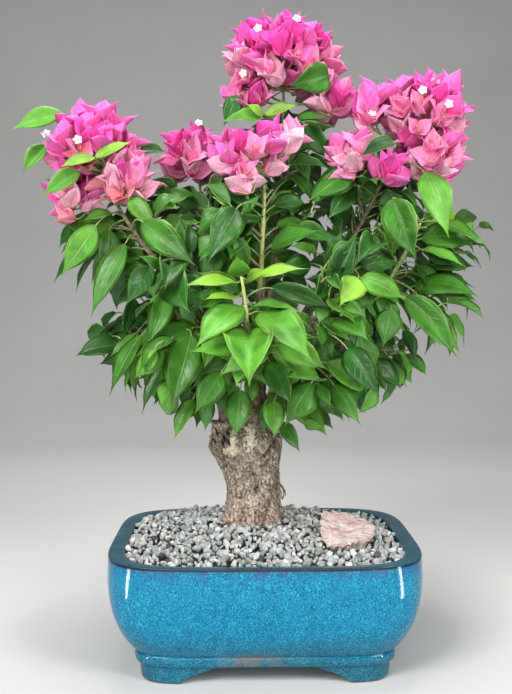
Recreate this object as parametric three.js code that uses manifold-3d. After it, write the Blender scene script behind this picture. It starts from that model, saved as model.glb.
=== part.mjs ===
// A bougainvillea bonsai in a glazed ceramic pot.
// Millimetres, +Z up. X runs along the pot, and the plant's front faces -Y.
import * as THREE from 'three';
import { mergeVertices } from 'three/addons/utils/BufferGeometryUtils.js';
import Module from 'manifold-3d';

const wasm = await Module();
wasm.setup();

// Clearance between neighbouring pieces, and the length under which an edge is closed up
const GAP = 0.3;
const SHORT_EDGE = 0.02;

// Pot: a soft rectangle, squarer at its base, on four bracket feet
const POT_LENGTH = 280;
const POT_DEPTH = 208;
const POT_HEIGHT = 107.5;
const POT_SIDES = 36;
const RIM_SQUARENESS = 4.8;
const BASE_SQUARENESS = 8;
const LIP_WIDTH = 14;
const LIP_ROUND = 0.8;
const BELLY_TOP = 94;
const BELLY_PULLS = [{ inset: 8, height: 42 }, { inset: 0, height: 66 }];
const BELLY_STEPS = 5;
const BAND_TOP = 25;
const BAND_INSET = 24.5;
const BAND_BULGE = 1.2;
const BAND_UNDERCUT = { inset: 0.8, height: 1 };
const FOOT_HEIGHT = 15.5;
const FOOT_INSET = 28;
const FOOT_WIDTH = 21;
const FOOT_TOE = [{ inset: 4, height: 0 }, { inset: 1.5, height: 3 }];
const FOOT_OVERLAP = 3;
const FRONT_ARCH = { foot: 75, crown: 35 };
const SIDE_ARCH = { foot: 47, crown: 14 };
const ARCH_PULLS = { foot: { run: 9, height: 10 }, crown: { run: 18, height: 8 } };
const ARCH_OVERRUN = 1;
const ARCH_STEPS = 5;
const WALL_INSETS = [{ inset: 16, height: 95 }, { inset: 23, height: 50 }];
const WALL_FOOT_INSET = 40;
const FLOOR_TOP = 30;

// Gravel: lowest at the wall, heaped to a level pad under the trunk
const GROUND = 116;
const GRAVEL_EDGE = 105;
const PAD_RADIUS = 40;
const MOUND_RADIUS = 150;
const GRAVEL_RINGS = 3;
const GRAVEL_ROUGHNESS = 2.4;
const GRAVEL_SETBACK = 0.9;

// Larger grains that stand out of the gravel, in rows
const GRAIN_PITCH = 36;
const GRAIN_ROW = 31;
const GRAIN_SHIFT = 5;
const GRAIN_HALF = new THREE.Vector3(9.5, 8, 6.5);
const GRAIN_SIZES = [0.85, 1.15];
const GRAIN_SINK = 1.5;
const GRAIN_MARGIN = 16;
const GRAIN_ROOM = { trunk: 46, stone: 1.35 };

// Loose stone on the gravel, in front of the trunk and to the right
const STONE_CENTRE = new THREE.Vector3(78, -12, 115);
const STONE_HALF = new THREE.Vector3(31, 22, 13);
const STONE_TURN = 0.15;
const STONE_BUMPS = [0.86, 1.06];
const STONE_GROWTH = 1.3;

// Trunk: heights over the ground, sideways place of the middle, and half width
const TRUNK_Y = 28;
const TRUNK_STATIONS = [
  { height: 0, x: -11.8, half: 29.5 },
  { height: 9, x: -10, half: 26.5 },
  { height: 28, x: -9, half: 26 },
  { height: 48, x: -10.5, half: 27.5 },
  { height: 60, x: -13.5, half: 31 },
  { height: 72, x: -16.5, half: 35.5 },
  { height: 83, x: -16, half: 34 },
  { height: 93, x: -13, half: 25 },
];
const TRUNK_DEPTH = 0.92;
const TRUNK_SIDES = 14;
const TRUNK_STEPS = 10;
const TRUNK_LOBES = [{ count: 3, size: 0.035, pitch: 20 }, { count: 5, size: 0.03, pitch: -9 }];
const ARMS = {
  stub: { from: [-28, 28, 176], to: [-36, 25, 214], radii: [18, 14] },
  centre: { from: [-10, 28, 186], to: [-5, 32, 250], radii: [17, 8] },
  right_arm: { from: [6, 28, 186], to: [14, 28, 244], radii: [13, 8] },
};
const ARM_SIDES = 10;
const ARM_STEPS = 4;

// Boughs and the leafy shoots that go on from them: the limb that a bough leaves and where,
// the bough's tip, the end of the shoot's stem, and how many leaves it carries
const SHOOTS = {
  top: { from: 'centre', at: 1, tip: [12, 40, 372], end: [19, 38, 492], leaves: 19 },
  right_upper: { from: 'right_arm', at: 1, tip: [72, 30, 366], end: [114, 16, 446], leaves: 19 },
  left: { from: 'centre', at: 0.9, tip: [-86, 2, 350], end: [-134, -8, 416], leaves: 19 },
  mid: { from: 'centre', at: 0.82, tip: [-4, -10, 338], end: [0, -25, 426], leaves: 19 },
  back_left: { from: 'centre', at: 0.75, tip: [-38, 66, 345], end: [-62, 76, 438], leaves: 19 },
  back: { from: 'centre', at: 0.6, tip: [2, 92, 334], end: [5, 135, 417], leaves: 19 },
  back_right: { from: 'right_arm', at: 0.8, tip: [54, 78, 330], end: [111, 110, 399], leaves: 19 },
  right: { from: 'right_arm', at: 0.9, tip: [100, 22, 316], end: [146, 0, 402], leaves: 19 },
  left_low: { from: 'stub', at: 1, tip: [-62, 18, 276], end: [-104, 10, 320], leaves: 19 },
  front_left: { from: 'stub', at: 0.7, tip: [-46, -16, 260], end: [-74, -50, 310], leaves: 19 },
  front: { from: 'centre', at: 0.5, tip: [-12, -28, 276], end: [-20, -82, 348], leaves: 19 },
  front_right: { from: 'right_arm', at: 0.45, tip: [26, -18, 256], end: [44, -60, 310], leaves: 19 },
  right_low: { from: 'right_arm', at: 0.6, tip: [58, 0, 264], end: [95, -18, 322], leaves: 19 },
  front_upper_left: { from: 'left', at: 0.42, tip: [-52, -14, 318], end: [-66, -44, 366], leaves: 19 },
  front_upper_right: { from: 'right_upper', at: 0.4, tip: [48, -8, 312], end: [66, -42, 362], leaves: 19 },
  back_low: { from: 'back', at: 0.35, tip: [4, 92, 262], end: [2, 142, 296], leaves: 19 },
  back_left_low: { from: 'back_left', at: 0.3, tip: [-48, 78, 276], end: [-88, 102, 316], leaves: 19 },
  back_right_low: { from: 'back_right', at: 0.3, tip: [56, 80, 276], end: [96, 106, 316], leaves: 19 },
};
const SPACE_MIDDLE = 0.42;
const SPACE_RADIUS = 55;
const CROWN_HEART = new THREE.Vector3(0, 28, 300);
const LIMB_TAPER = 0.62;
const BOUGH_BASE_RADIUS = 5.6;
const BOUGH_TIP_RADIUS = 2.8;
const BOUGH_SIDES = 5;
const BOUGH_STEPS = 5;
const BOUGH_EASE = { lean: 0.5, leaving: 0.35, arriving: 0.3 };
const SIDE_BOUGH_SHARE = 0.7;

// Twigs and leaves of a shoot
const STEM_SIDES = 3;
const STEM_STEPS = 4;
const STEM_RADII = [2.6, 1.5];
const STEM_BOW = 0.12;
const TWIGS = 5;
const TWIG_SPAN = [0.16, 0.92];
const TWIG_LENGTHS = [31, 57];
const TWIG_RADIUS = 2.4;
const TWIG_TURN = 2;
const TWIG_AIM = { side: 1, forward: 0.4, outward: 0.35 };
const TWIG_SHOULDER = 0.3;
const TWIG_TRIES = 6;
const LEAF_SPAN = [0.22, 0.86];
const LEAF_LENGTH = 58;
const LEAF_WIDTH = 35;
const LEAF_SIZES = [0.82, 1.12];
const LEAF_SHOULDER = 0.46;
const LEAF_MIDDLE = 0.6;
const LEAF_FOLD = 2.4;
const LEAF_DROOP = 7;
const LEAF_ROOT = 0.4;
const LEAF_NECK = 3.5;
const LEAF_FORWARD = 0.5;
const LEAF_AIM = { outward: 0.5, side: 0.8, chance: 0.35 };
const LEAF_FACE = { outward: 0.7, up: 0.6, chance: 0.9 };
const LEAF_HANG = { low: 250, lowPull: 0.85, high: 480, highPull: 0.3 };
const LEAF_CHOICES = 40;
const LIMB_CLEARANCE = 0.6;
const GOLDEN_ANGLE = Math.PI * (3 - Math.sqrt(5));

// Heads of blossom: the shoot that carries each, its middle, its half size and its flowers
const HEADS = {
  left: { shoot: 'left', centre: [-144, -6, 453], half: [62, 52, 50], flowers: 16 },
  right: { shoot: 'right_upper', centre: [136, 12, 492], half: [66, 56, 54], flowers: 17 },
  top: { shoot: 'top', centre: [21, 38, 556], half: [62, 56, 48], flowers: 16 },
  mid: { shoot: 'mid', centre: [-14, -34, 466], half: [54, 38, 32], flowers: 14 },
  back_left: { shoot: 'back_left', centre: [-58, 80, 484], half: [42, 40, 36], flowers: 10 },
};
const HEAD_COVER = 1.6;
const HEAD_BEND = 0.3;
const HEAD_LIFT = 0.3;
const HEAD_TURN = 0.5;
const PEDICEL_RADIUS = 1.2;
const PEDICEL_RUN = 0.7;
const PEDICEL_BARE = 0.8;
const BRACTS = 3;
const BRACT_LENGTH = 30;
const BRACT_TIP = { out: 0.64, rise: 0.77 };
const BRACT_SIDE = { out: 0.49, rise: 0.35 };
const CUP_THICKNESS = 3;
const FLOWER_SIZES = [0.9, 1.15];
const FLOWER_LEAN = 0.25;
const FLOWER_TURN = 3;
const FLOWER_TRIES = 4;

// First number of each seeded stream
const SEEDS = { gravel: 5, grains: 7, stone: 11, shoots: 100, heads: 200 };

const up = new THREE.Vector3(0, 0, 1);

const materials = {
  glaze: new THREE.MeshStandardMaterial({ color: 0x1b7fa8, roughness: 0.22, metalness: 0 }),
  gravel: new THREE.MeshStandardMaterial({ color: 0x9a948c, roughness: 0.95, metalness: 0 }),
  stone: new THREE.MeshStandardMaterial({ color: 0xc98f84, roughness: 0.8, metalness: 0 }),
  bark: new THREE.MeshStandardMaterial({ color: 0x7d6652, roughness: 0.9, metalness: 0 }),
  leaf: new THREE.MeshStandardMaterial({ color: 0x3f7d33, roughness: 0.45, metalness: 0 }),
  blossom: new THREE.MeshStandardMaterial({ color: 0xd6479a, roughness: 0.6, metalness: 0 }),
};

// A seeded stream of numbers from 0 to 1
function seeded(seed) {
  let state = seed >>> 0;
  return () => {
    state = (state + 0x6d2b79f5) >>> 0;
    let mixed = Math.imul(state ^ (state >>> 15), 1 | state);
    mixed = (mixed + Math.imul(mixed ^ (mixed >>> 7), 61 | mixed)) ^ mixed;
    return ((mixed ^ (mixed >>> 14)) >>> 0) / 4294967296;
  };
}

// A number drawn evenly from a range
function drawn([low, high], random) {
  return THREE.MathUtils.lerp(low, high, random());
}

// A vector with each part between -1 and 1
function scatter(random) {
  const x = 2 * random() - 1;
  const y = 2 * random() - 1;
  const z = 2 * random() - 1;
  return new THREE.Vector3(x, y, z);
}

// The sum of vectors, each times its weight, at length 1
function blend(...pairs) {
  const sum = new THREE.Vector3();
  for (const [vector, weight] of pairs) {
    sum.addScaledVector(vector, weight);
  }
  return sum.normalize();
}

// A geometry with its shared corners joined, holding nothing but positions
function welded(geometry) {
  const bare = geometry.clone();
  bare.deleteAttribute('normal');
  bare.deleteAttribute('uv');
  return mergeVertices(bare, 1e-4);
}

// A closed geometry as a solid that can be joined and cut
function solid(geometry) {
  const shape = welded(geometry);
  return new wasm.Manifold(new wasm.Mesh({
    numProp: 3,
    vertProperties: new Float32Array(shape.attributes.position.array),
    triVerts: new Uint32Array(shape.index.array),
  }));
}

// The largest body of a solid, with sealed hollows filled and loose scraps dropped
function largest(shape) {
  const bodies = shape.decompose();
  return bodies.reduce((best, body) => (body.volume() > best.volume() ? body : best));
}

// A named mesh from a solid, without edges too short to matter
function mesh(name, shape, material) {
  const { vertProperties, triVerts } = shape.simplify(SHORT_EDGE).getMesh();
  const geometry = new THREE.BufferGeometry();
  geometry.setAttribute('position', new THREE.BufferAttribute(vertProperties, 3));
  geometry.setIndex(new THREE.BufferAttribute(triVerts, 1));
  geometry.computeVertexNormals();
  const made = new THREE.Mesh(geometry, material);
  made.name = name;
  return made;
}

// Turns a round turned shape into the pot's soft rectangle, squarer towards its base
function squaredOff(profile) {
  const turned = new THREE.LatheGeometry(profile, POT_SIDES).rotateX(Math.PI / 2);
  const shape = welded(turned);
  const corners = shape.attributes.position;
  const soften = (part, power) => Math.sign(part) * Math.abs(part) ** power;
  for (let i = 0; i < corners.count; i += 1) {
    const z = corners.getZ(i);
    const radius = Math.hypot(corners.getX(i), corners.getY(i));
    const angle = Math.atan2(corners.getY(i), corners.getX(i));
    const rise = THREE.MathUtils.clamp(z / POT_HEIGHT, 0, 1);
    const power = 2 / THREE.MathUtils.lerp(BASE_SQUARENESS, RIM_SQUARENESS, rise);
    const x = radius * soften(Math.cos(angle), power);
    const y = radius * soften(Math.sin(angle), power) * POT_DEPTH / POT_LENGTH;
    corners.setXYZ(i, x, y, z);
  }
  return shape;
}

// The pot's inner wall from its lip down to the middle of its floor, drawn in by a clearance
function innerWall(clearance) {
  const half = POT_LENGTH / 2 - clearance;
  return [
    new THREE.Vector2(half - LIP_WIDTH, POT_HEIGHT),
    ...WALL_INSETS.map(({ inset, height }) => new THREE.Vector2(half - inset, height)),
    new THREE.Vector2(half - WALL_FOOT_INSET, FLOOR_TOP + clearance),
    new THREE.Vector2(0, FLOOR_TOP + clearance),
  ];
}

// An arch between two feet, as a prism that runs through the pot
function archPrism({ foot, crown }, reach) {
  const below = -ARCH_OVERRUN;
  const above = FOOT_HEIGHT + FOOT_OVERLAP + ARCH_OVERRUN;
  const low = { x: foot - ARCH_PULLS.foot.run, y: ARCH_PULLS.foot.height };
  const high = { x: crown + ARCH_PULLS.crown.run, y: ARCH_PULLS.crown.height };
  const opening = new THREE.Shape();
  opening.moveTo(-foot, below);
  opening.bezierCurveTo(-low.x, low.y, -high.x, high.y, -crown, above);
  opening.lineTo(crown, above);
  opening.bezierCurveTo(high.x, high.y, low.x, low.y, foot, below);
  opening.closePath();
  const settings = { depth: 2 * reach, bevelEnabled: false, curveSegments: ARCH_STEPS };
  return new THREE.ExtrudeGeometry(opening, settings).translate(0, 0, -reach).rotateX(Math.PI / 2);
}

function makePot() {
  const half = POT_LENGTH / 2;
  const point = (inset, height) => new THREE.Vector2(half - inset, height);
  const belly = new THREE.CubicBezierCurve(
    point(BAND_INSET, BAND_TOP),
    ...BELLY_PULLS.map(({ inset, height }) => point(inset, height)),
    point(0, BELLY_TOP),
  );
  const profile = [
    new THREE.Vector2(0, FOOT_HEIGHT),
    point(FOOT_INSET, FOOT_HEIGHT),
    point(BAND_INSET + BAND_UNDERCUT.inset, FOOT_HEIGHT + BAND_UNDERCUT.height),
    point(BAND_INSET - BAND_BULGE, (FOOT_HEIGHT + BAND_TOP) / 2),
    ...belly.getPoints(BELLY_STEPS),
    point(LIP_ROUND, POT_HEIGHT),
    ...innerWall(0),
  ];
  const body = solid(squaredOff(profile));
  const footTop = FOOT_HEIGHT + FOOT_OVERLAP;
  const ring = [
    point(FOOT_INSET, footTop),
    point(FOOT_INSET + FOOT_WIDTH, footTop),
    point(FOOT_INSET + FOOT_WIDTH, 0),
    ...FOOT_TOE.map(({ inset, height }) => point(FOOT_INSET + inset, height)),
    point(FOOT_INSET, footTop),
  ];
  const feet = solid(squaredOff(ring))
    .subtract(solid(archPrism(FRONT_ARCH, POT_LENGTH)))
    .subtract(solid(archPrism(SIDE_ARCH, POT_LENGTH).rotateZ(Math.PI / 2)));
  return body.add(feet);
}

// Height of the gravel's top: level under the trunk, then a slope down to the wall
function gravelHeight(x, y, random) {
  const away = Math.hypot(x - TRUNK_STATIONS[0].x, y - TRUNK_Y);
  const slope = THREE.MathUtils.smoothstep(away, PAD_RADIUS, MOUND_RADIUS);
  const rough = slope > 0 ? GRAVEL_ROUGHNESS * random() : 0;
  return THREE.MathUtils.lerp(GROUND - GAP, GRAVEL_EDGE, slope) - rough;
}

function makeGravel() {
  const random = seeded(SEEDS.gravel);
  const wall = innerWall(GAP).slice(1).reverse();
  const edge = POT_LENGTH / 2 - LIP_WIDTH - GAP - GRAVEL_SETBACK;
  const top = [];
  for (let ring = 0; ring <= GRAVEL_RINGS; ring += 1) {
    top.push(new THREE.Vector2(edge * (1 - ring / GRAVEL_RINGS), GRAVEL_EDGE));
  }
  const shape = squaredOff([...wall, ...top]);
  const corners = shape.attributes.position;
  for (let i = 0; i < corners.count; i += 1) {
    if (corners.getZ(i) >= GRAVEL_EDGE) {
      corners.setZ(i, gravelHeight(corners.getX(i), corners.getY(i), random));
    }
  }
  return solid(shape);
}

// Whether a grain at a place is clear of the pot's wall, the trunk and the stone
function grainFits(x, y) {
  const half = POT_LENGTH / 2 - LIP_WIDTH - GRAIN_MARGIN;
  const deep = half * POT_DEPTH / POT_LENGTH;
  const inside = Math.abs(x / half) ** RIM_SQUARENESS + Math.abs(y / deep) ** RIM_SQUARENESS < 1;
  const trunkRun = Math.hypot(x - TRUNK_STATIONS[0].x, y - TRUNK_Y);
  const stoneRun = Math.hypot((x - STONE_CENTRE.x) / STONE_HALF.x, (y - STONE_CENTRE.y) / STONE_HALF.y);
  return inside && trunkRun > GRAIN_ROOM.trunk && stoneRun > GRAIN_ROOM.stone;
}

// The larger grains: eight-sided stones half sunk in the gravel
function makeGrains() {
  const random = seeded(SEEDS.grains);
  const grains = [];
  for (let y = -POT_DEPTH / 2, row = 0; y < POT_DEPTH / 2; y += GRAIN_ROW, row += 1) {
    for (let x = -POT_LENGTH / 2 + (row % 2) * GRAIN_PITCH / 2; x < POT_LENGTH / 2; x += GRAIN_PITCH) {
      const shift = scatter(random).multiplyScalar(GRAIN_SHIFT);
      const turn = scatter(random).multiplyScalar(Math.PI);
      const size = drawn(GRAIN_SIZES, random);
      const place = new THREE.Vector3(x + shift.x, y + shift.y, 0);
      if (grainFits(place.x, place.y)) {
        const grain = new THREE.OctahedronGeometry(size).rotateX(turn.x).rotateY(turn.y);
        grain.scale(GRAIN_HALF.x, GRAIN_HALF.y, GRAIN_HALF.z).rotateZ(turn.z);
        place.z = gravelHeight(place.x, place.y, random) - GRAIN_SINK;
        grains.push(solid(grain.translate(place.x, place.y, place.z)));
      }
    }
  }
  return wasm.Manifold.union(grains);
}

// The stone, grown evenly on all sides by a clearance
function makeStone(clearance) {
  const random = seeded(SEEDS.stone);
  const shape = welded(new THREE.IcosahedronGeometry(1, 1));
  const corners = shape.attributes.position;
  for (let i = 0; i < corners.count; i += 1) {
    const bump = drawn(STONE_BUMPS, random);
    corners.setXYZ(i, corners.getX(i) * bump, corners.getY(i) * bump, corners.getZ(i) * bump);
  }
  const half = STONE_HALF.clone().addScalar(clearance * STONE_GROWTH);
  shape.scale(half.x, half.y, half.z).rotateZ(STONE_TURN);
  return solid(shape.translate(STONE_CENTRE.x, STONE_CENTRE.y, STONE_CENTRE.z));
}

// A tapering limb along a curve, closed at its ends and grown on all sides by a clearance
function limb(curve, [startRadius, endRadius], sides, steps, clearance = 0) {
  const shape = welded(new THREE.CylinderGeometry(1, 1, 1, sides, steps));
  const frames = curve.computeFrenetFrames(steps, false);
  const corners = shape.attributes.position;
  for (let i = 0; i < corners.count; i += 1) {
    const step = Math.round((corners.getY(i) + 0.5) * steps);
    const along = step / steps;
    const taper = THREE.MathUtils.lerp(startRadius, endRadius, along ** LIMB_TAPER) + clearance;
    const angle = Math.atan2(corners.getX(i), corners.getZ(i));
    const radius = taper * Math.hypot(corners.getX(i), corners.getZ(i));
    const beyond = (Math.floor(along) - Math.floor(1 - along)) * clearance;
    const place = curve.getPointAt(along)
      .addScaledVector(frames.tangents[step], beyond)
      .addScaledVector(frames.binormals[step], radius * Math.cos(angle))
      .addScaledVector(frames.normals[step], -radius * Math.sin(angle));
    corners.setXYZ(i, place.x, place.y, place.z);
  }
  return solid(shape);
}

function armCurve({ from, to }) {
  return new THREE.LineCurve3(new THREE.Vector3(...from), new THREE.Vector3(...to));
}

// The half width of the trunk's column and the sideways place of its middle at a height
function trunkAt(height) {
  const next = TRUNK_STATIONS.findIndex((station) => station.height >= height);
  const high = TRUNK_STATIONS[Math.max(next, 1)];
  const low = TRUNK_STATIONS[Math.max(next, 1) - 1];
  const along = (height - low.height) / (high.height - low.height);
  return {
    x: THREE.MathUtils.lerp(low.x, high.x, along),
    half: THREE.MathUtils.lerp(low.half, high.half, along),
  };
}

// The trunk with its fork, grown by a clearance
function makeTrunk(clearance) {
  const column = welded(new THREE.CylinderGeometry(1, 1, 1, TRUNK_SIDES, TRUNK_STEPS));
  const corners = column.attributes.position;
  const total = TRUNK_STATIONS.at(-1).height;
  for (let i = 0; i < corners.count; i += 1) {
    const height = (corners.getY(i) + 0.5) * total;
    const { x, half } = trunkAt(height);
    const angle = Math.atan2(corners.getX(i), corners.getZ(i));
    const swell = TRUNK_LOBES.reduce((sum, { count, size, pitch }) => (
      sum + size * Math.sin(count * angle + height / pitch)
    ), 1);
    const radius = Math.hypot(corners.getX(i), corners.getZ(i)) * (half * swell + clearance);
    const y = TRUNK_Y + radius * TRUNK_DEPTH * Math.cos(angle);
    corners.setXYZ(i, x - radius * Math.sin(angle), y, GROUND + height + (height > 0 ? clearance : 0));
  }
  let trunk = solid(column);
  for (const arm of Object.values(ARMS)) {
    trunk = trunk.add(limb(armCurve(arm), arm.radii, ARM_SIDES, ARM_STEPS, clearance));
  }
  return trunk;
}

// The curve of a shoot's stem, from its bough's tip to its own end
function stemCurve({ tip, end }) {
  const start = new THREE.Vector3(...tip);
  const finish = new THREE.Vector3(...end);
  const outward = finish.clone().sub(start).setZ(0);
  const bend = start.clone().lerp(finish, 0.5).addScaledVector(outward, STEM_BOW);
  return new THREE.QuadraticBezierCurve3(start, bend, finish);
}

// The curve of a bough, from inside the limb that it leaves to the start of its shoot
function boughCurve(shoot, parents) {
  const start = parents[shoot.from].getPointAt(shoot.at);
  const tip = new THREE.Vector3(...shoot.tip);
  const length = start.distanceTo(tip);
  const parentWay = parents[shoot.from].getTangentAt(shoot.at);
  const leaving = blend([parentWay, BOUGH_EASE.lean], [tip.clone().sub(start), 1 / length]);
  const arriving = stemCurve(shoot).getTangentAt(0);
  return new THREE.CubicBezierCurve3(
    start,
    start.clone().addScaledVector(leaving, length * BOUGH_EASE.leaving),
    tip.clone().addScaledVector(arriving, -length * BOUGH_EASE.arriving),
    tip,
  );
}

// Every bough as a solid, cut clear of the limbs before it, with the same limbs grown for clearance
function makeBoughs() {
  const parents = Object.fromEntries(Object.entries(ARMS).map(([name, arm]) => [name, armCurve(arm)]));
  const boughs = {};
  let taken = makeTrunk(GAP);
  let guarded = makeTrunk(LIMB_CLEARANCE);
  for (const [name, shoot] of Object.entries(SHOOTS)) {
    const curve = boughCurve(shoot, parents);
    const share = shoot.from in ARMS ? 1 : SIDE_BOUGH_SHARE;
    const radii = [BOUGH_BASE_RADIUS * share, BOUGH_TIP_RADIUS];
    const whole = limb(curve, radii, BOUGH_SIDES, BOUGH_STEPS);
    boughs[name] = largest(whole.subtract(taken));
    taken = taken.add(limb(curve, radii, BOUGH_SIDES, BOUGH_STEPS, GAP));
    guarded = guarded.add(limb(curve, radii, BOUGH_SIDES, BOUGH_STEPS, LIMB_CLEARANCE));
    parents[name] = curve;
  }
  return { boughs, guarded };
}

// The middle of each mass and the weight that sets how far its space reaches towards the others.
// The border between a head and the shoot that carries it passes through the end of the shoot's stem.
function makeSpaces() {
  const weight = SPACE_RADIUS ** 2;
  const spaces = {};
  for (const [name, shoot] of Object.entries(SHOOTS)) {
    spaces[`leaves_${name}`] = { centre: stemCurve(shoot).getPointAt(SPACE_MIDDLE), weight };
  }
  for (const [name, head] of Object.entries(HEADS)) {
    const centre = new THREE.Vector3(...head.centre);
    const joint = new THREE.Vector3(...SHOOTS[head.shoot].end);
    const carrier = spaces[`leaves_${head.shoot}`];
    carrier.weight += joint.distanceToSquared(carrier.centre) - joint.distanceToSquared(centre);
    spaces[`blossom_${name}`] = { centre, weight };
  }
  return spaces;
}

// Whether every corner lies within a mass's own space
function within(spaces, name, corners) {
  const own = spaces[name];
  return corners.every((corner) => Object.entries(spaces).every(([other, space]) => {
    if (other === name) {
      return true;
    }
    const ownPower = corner.distanceToSquared(own.centre) - own.weight;
    const otherPower = corner.distanceToSquared(space.centre) - space.weight;
    return (otherPower - ownPower) / (2 * own.centre.distanceTo(space.centre)) > GAP / 2;
  }));
}

// A folded blade with a narrow root, two shoulders, a keel and a bent tip, and the blade without its root
function blade(root, along, face, size) {
  const across = new THREE.Vector3().crossVectors(face, along).normalize();
  const front = new THREE.Vector3().crossVectors(along, across);
  const place = (forward, side, lift) => root.clone()
    .addScaledVector(along, forward * LEAF_LENGTH * size)
    .addScaledVector(across, side * LEAF_WIDTH * size / 2)
    .addScaledVector(front, lift);
  const base = place(0, 0, 0);
  const left = place(LEAF_SHOULDER, -1, LEAF_FOLD);
  const right = place(LEAF_SHOULDER, 1, LEAF_FOLD);
  const keel = place(LEAF_SHOULDER, 0, 0);
  const tip = place(1, 0, -LEAF_DROOP * size);
  const close = (points) => {
    const geometry = new THREE.BufferGeometry().setFromPoints(points);
    return solid(geometry.setIndex([0, 1, 2, 1, 4, 2, 0, 3, 1, 0, 2, 3, 1, 3, 4, 3, 2, 4]));
  };
  const corners = [base, left, right, keel, tip];
  const neck = root.clone().addScaledVector(along, LEAF_NECK);
  const free = close([neck, left, right, keel, tip]);
  return { shape: close(corners), free, corners, middle: place(LEAF_MIDDLE, 0, 0) };
}

// Whether a blade keeps to its space, clear of the limbs and of what its mass already holds
function fits({ shape, free, corners }, mass, spaces, space, guarded) {
  return within(spaces, space, corners)
    && free.intersect(mass).isEmpty()
    && shape.intersect(guarded).isEmpty();
}

// A leaf that hangs outward and down from a place on a twig
function leafAt(place, side, random) {
  const outward = place.clone().sub(CROWN_HEART).normalize();
  const { low, lowPull, high, highPull } = LEAF_HANG;
  const along = blend(
    [outward, LEAF_AIM.outward],
    [side, LEAF_AIM.side],
    [up, -THREE.MathUtils.mapLinear(place.z, low, high, lowPull, highPull)],
    [scatter(random), LEAF_AIM.chance],
  );
  const face = blend([outward, LEAF_FACE.outward], [up, LEAF_FACE.up], [scatter(random), LEAF_FACE.chance]);
  const root = place.clone().addScaledVector(along, -LEAF_ROOT);
  return blade(root, along, face, drawn(LEAF_SIZES, random));
}

// A straight pointed twig from a place: its middle line and its solid
function twigFrom(place, direction, length) {
  const line = new THREE.LineCurve3(place, place.clone().addScaledVector(direction, length));
  const shape = new THREE.ConeGeometry(TWIG_RADIUS, length, STEM_SIDES).translate(0, length / 2, 0);
  shape.applyQuaternion(new THREE.Quaternion().setFromUnitVectors(new THREE.Vector3(0, 1, 0), direction));
  return { line, body: solid(shape.translate(place.x, place.y, place.z)) };
}

// A direction square to a tangent, turned by an angle
function turned(tangent, angle) {
  const level = new THREE.Vector3().crossVectors(tangent, up).normalize();
  return level.applyAxisAngle(tangent, angle);
}

// A leafy shoot: twigs that branch off one stem, with leaves where they cover the crown most evenly
function makeShoot(name, shoot, spaces, guarded, leafMiddles, seed) {
  const random = seeded(seed);
  const space = `leaves_${name}`;
  const stem = stemCurve(shoot);
  const start = stem.getPointAt(0).addScaledVector(stem.getTangentAt(0), GAP);
  const whole = new THREE.QuadraticBezierCurve3(start, stem.v1, stem.v2);
  let mass = limb(whole, STEM_RADII, STEM_SIDES, STEM_STEPS);
  const carriers = [whole];
  for (let k = 0; k < TWIGS; k += 1) {
    const along = THREE.MathUtils.lerp(...TWIG_SPAN, (k + 0.5) / TWIGS);
    const place = whole.getPointAt(along);
    const tangent = whole.getTangentAt(along);
    const outward = place.clone().sub(CROWN_HEART).normalize();
    for (let attempt = 0; attempt < TWIG_TRIES; attempt += 1) {
      const side = turned(tangent, k * GOLDEN_ANGLE + TWIG_TURN * random());
      const direction = blend(
        [side, TWIG_AIM.side],
        [tangent, TWIG_AIM.forward],
        [outward, TWIG_AIM.outward],
      );
      const { line, body } = twigFrom(place, direction, drawn(TWIG_LENGTHS, random));
      const ends = [line.getPoint(TWIG_SHOULDER), line.v2];
      if (within(spaces, space, ends) && body.intersect(guarded).isEmpty()) {
        mass = mass.add(body);
        carriers.push(line);
        break;
      }
    }
  }
  for (let made = 0; made < shoot.leaves; made += 1) {
    const choices = [];
    for (let choice = 0; choice < LEAF_CHOICES; choice += 1) {
      const carrier = carriers[(made + choice) % carriers.length];
      const along = drawn(LEAF_SPAN, random);
      const tangent = carrier.getTangentAt(along);
      const side = blend([turned(tangent, 2 * Math.PI * random()), 1], [tangent, LEAF_FORWARD]);
      const leaf = leafAt(carrier.getPointAt(along), side, random);
      const room = Math.min(...leafMiddles.map((middle) => middle.distanceTo(leaf.middle)));
      choices.push({ leaf, room });
    }
    choices.sort((one, other) => other.room - one.room);
    const chosen = choices.find(({ leaf }) => fits(leaf, mass, spaces, space, guarded));
    if (chosen) {
      mass = mass.add(chosen.leaf.shape);
      leafMiddles.push(chosen.leaf.middle);
    }
  }
  return largest(mass);
}

// A flower on its pedicel: a three-sided stalk that opens into a cup of three pointed bracts
function flowerFrom(root, base, axis, turn, size) {
  const length = BRACT_LENGTH * size;
  const ring = (middle, step, radius, lift) => middle.clone()
    .addScaledVector(turned(axis, turn + step * Math.PI / BRACTS), radius)
    .addScaledVector(axis, lift);
  const points = [base.clone().addScaledVector(axis, CUP_THICKNESS)];
  for (let k = 0; k < BRACTS; k += 1) {
    points.push(ring(root, 2 * k, PEDICEL_RADIUS, 0));
    points.push(ring(base, 2 * k, PEDICEL_RADIUS, 0));
    points.push(ring(base, 2 * k, BRACT_TIP.out * length, BRACT_TIP.rise * length));
    points.push(ring(base, 2 * k + 1, BRACT_SIDE.out * length, BRACT_SIDE.rise * length));
  }
  const faces = [];
  for (let k = 0; k < BRACTS; k += 1) {
    const [foot, neck, tip, side] = [1, 2, 3, 4].map((corner) => corner + 4 * k);
    const [nextFoot, nextNeck, nextTip] = [1, 2, 3].map((corner) => corner + 4 * ((k + 1) % BRACTS));
    faces.push(0, tip, side, 0, side, nextTip);
    faces.push(neck, side, tip, nextNeck, nextTip, side, neck, nextNeck, side);
    faces.push(nextNeck, neck, foot, nextNeck, foot, nextFoot);
  }
  faces.push(1, 9, 5);
  const geometry = new THREE.BufferGeometry().setFromPoints(points);
  return { shape: solid(geometry.setIndex(faces)), corners: points };
}

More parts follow.
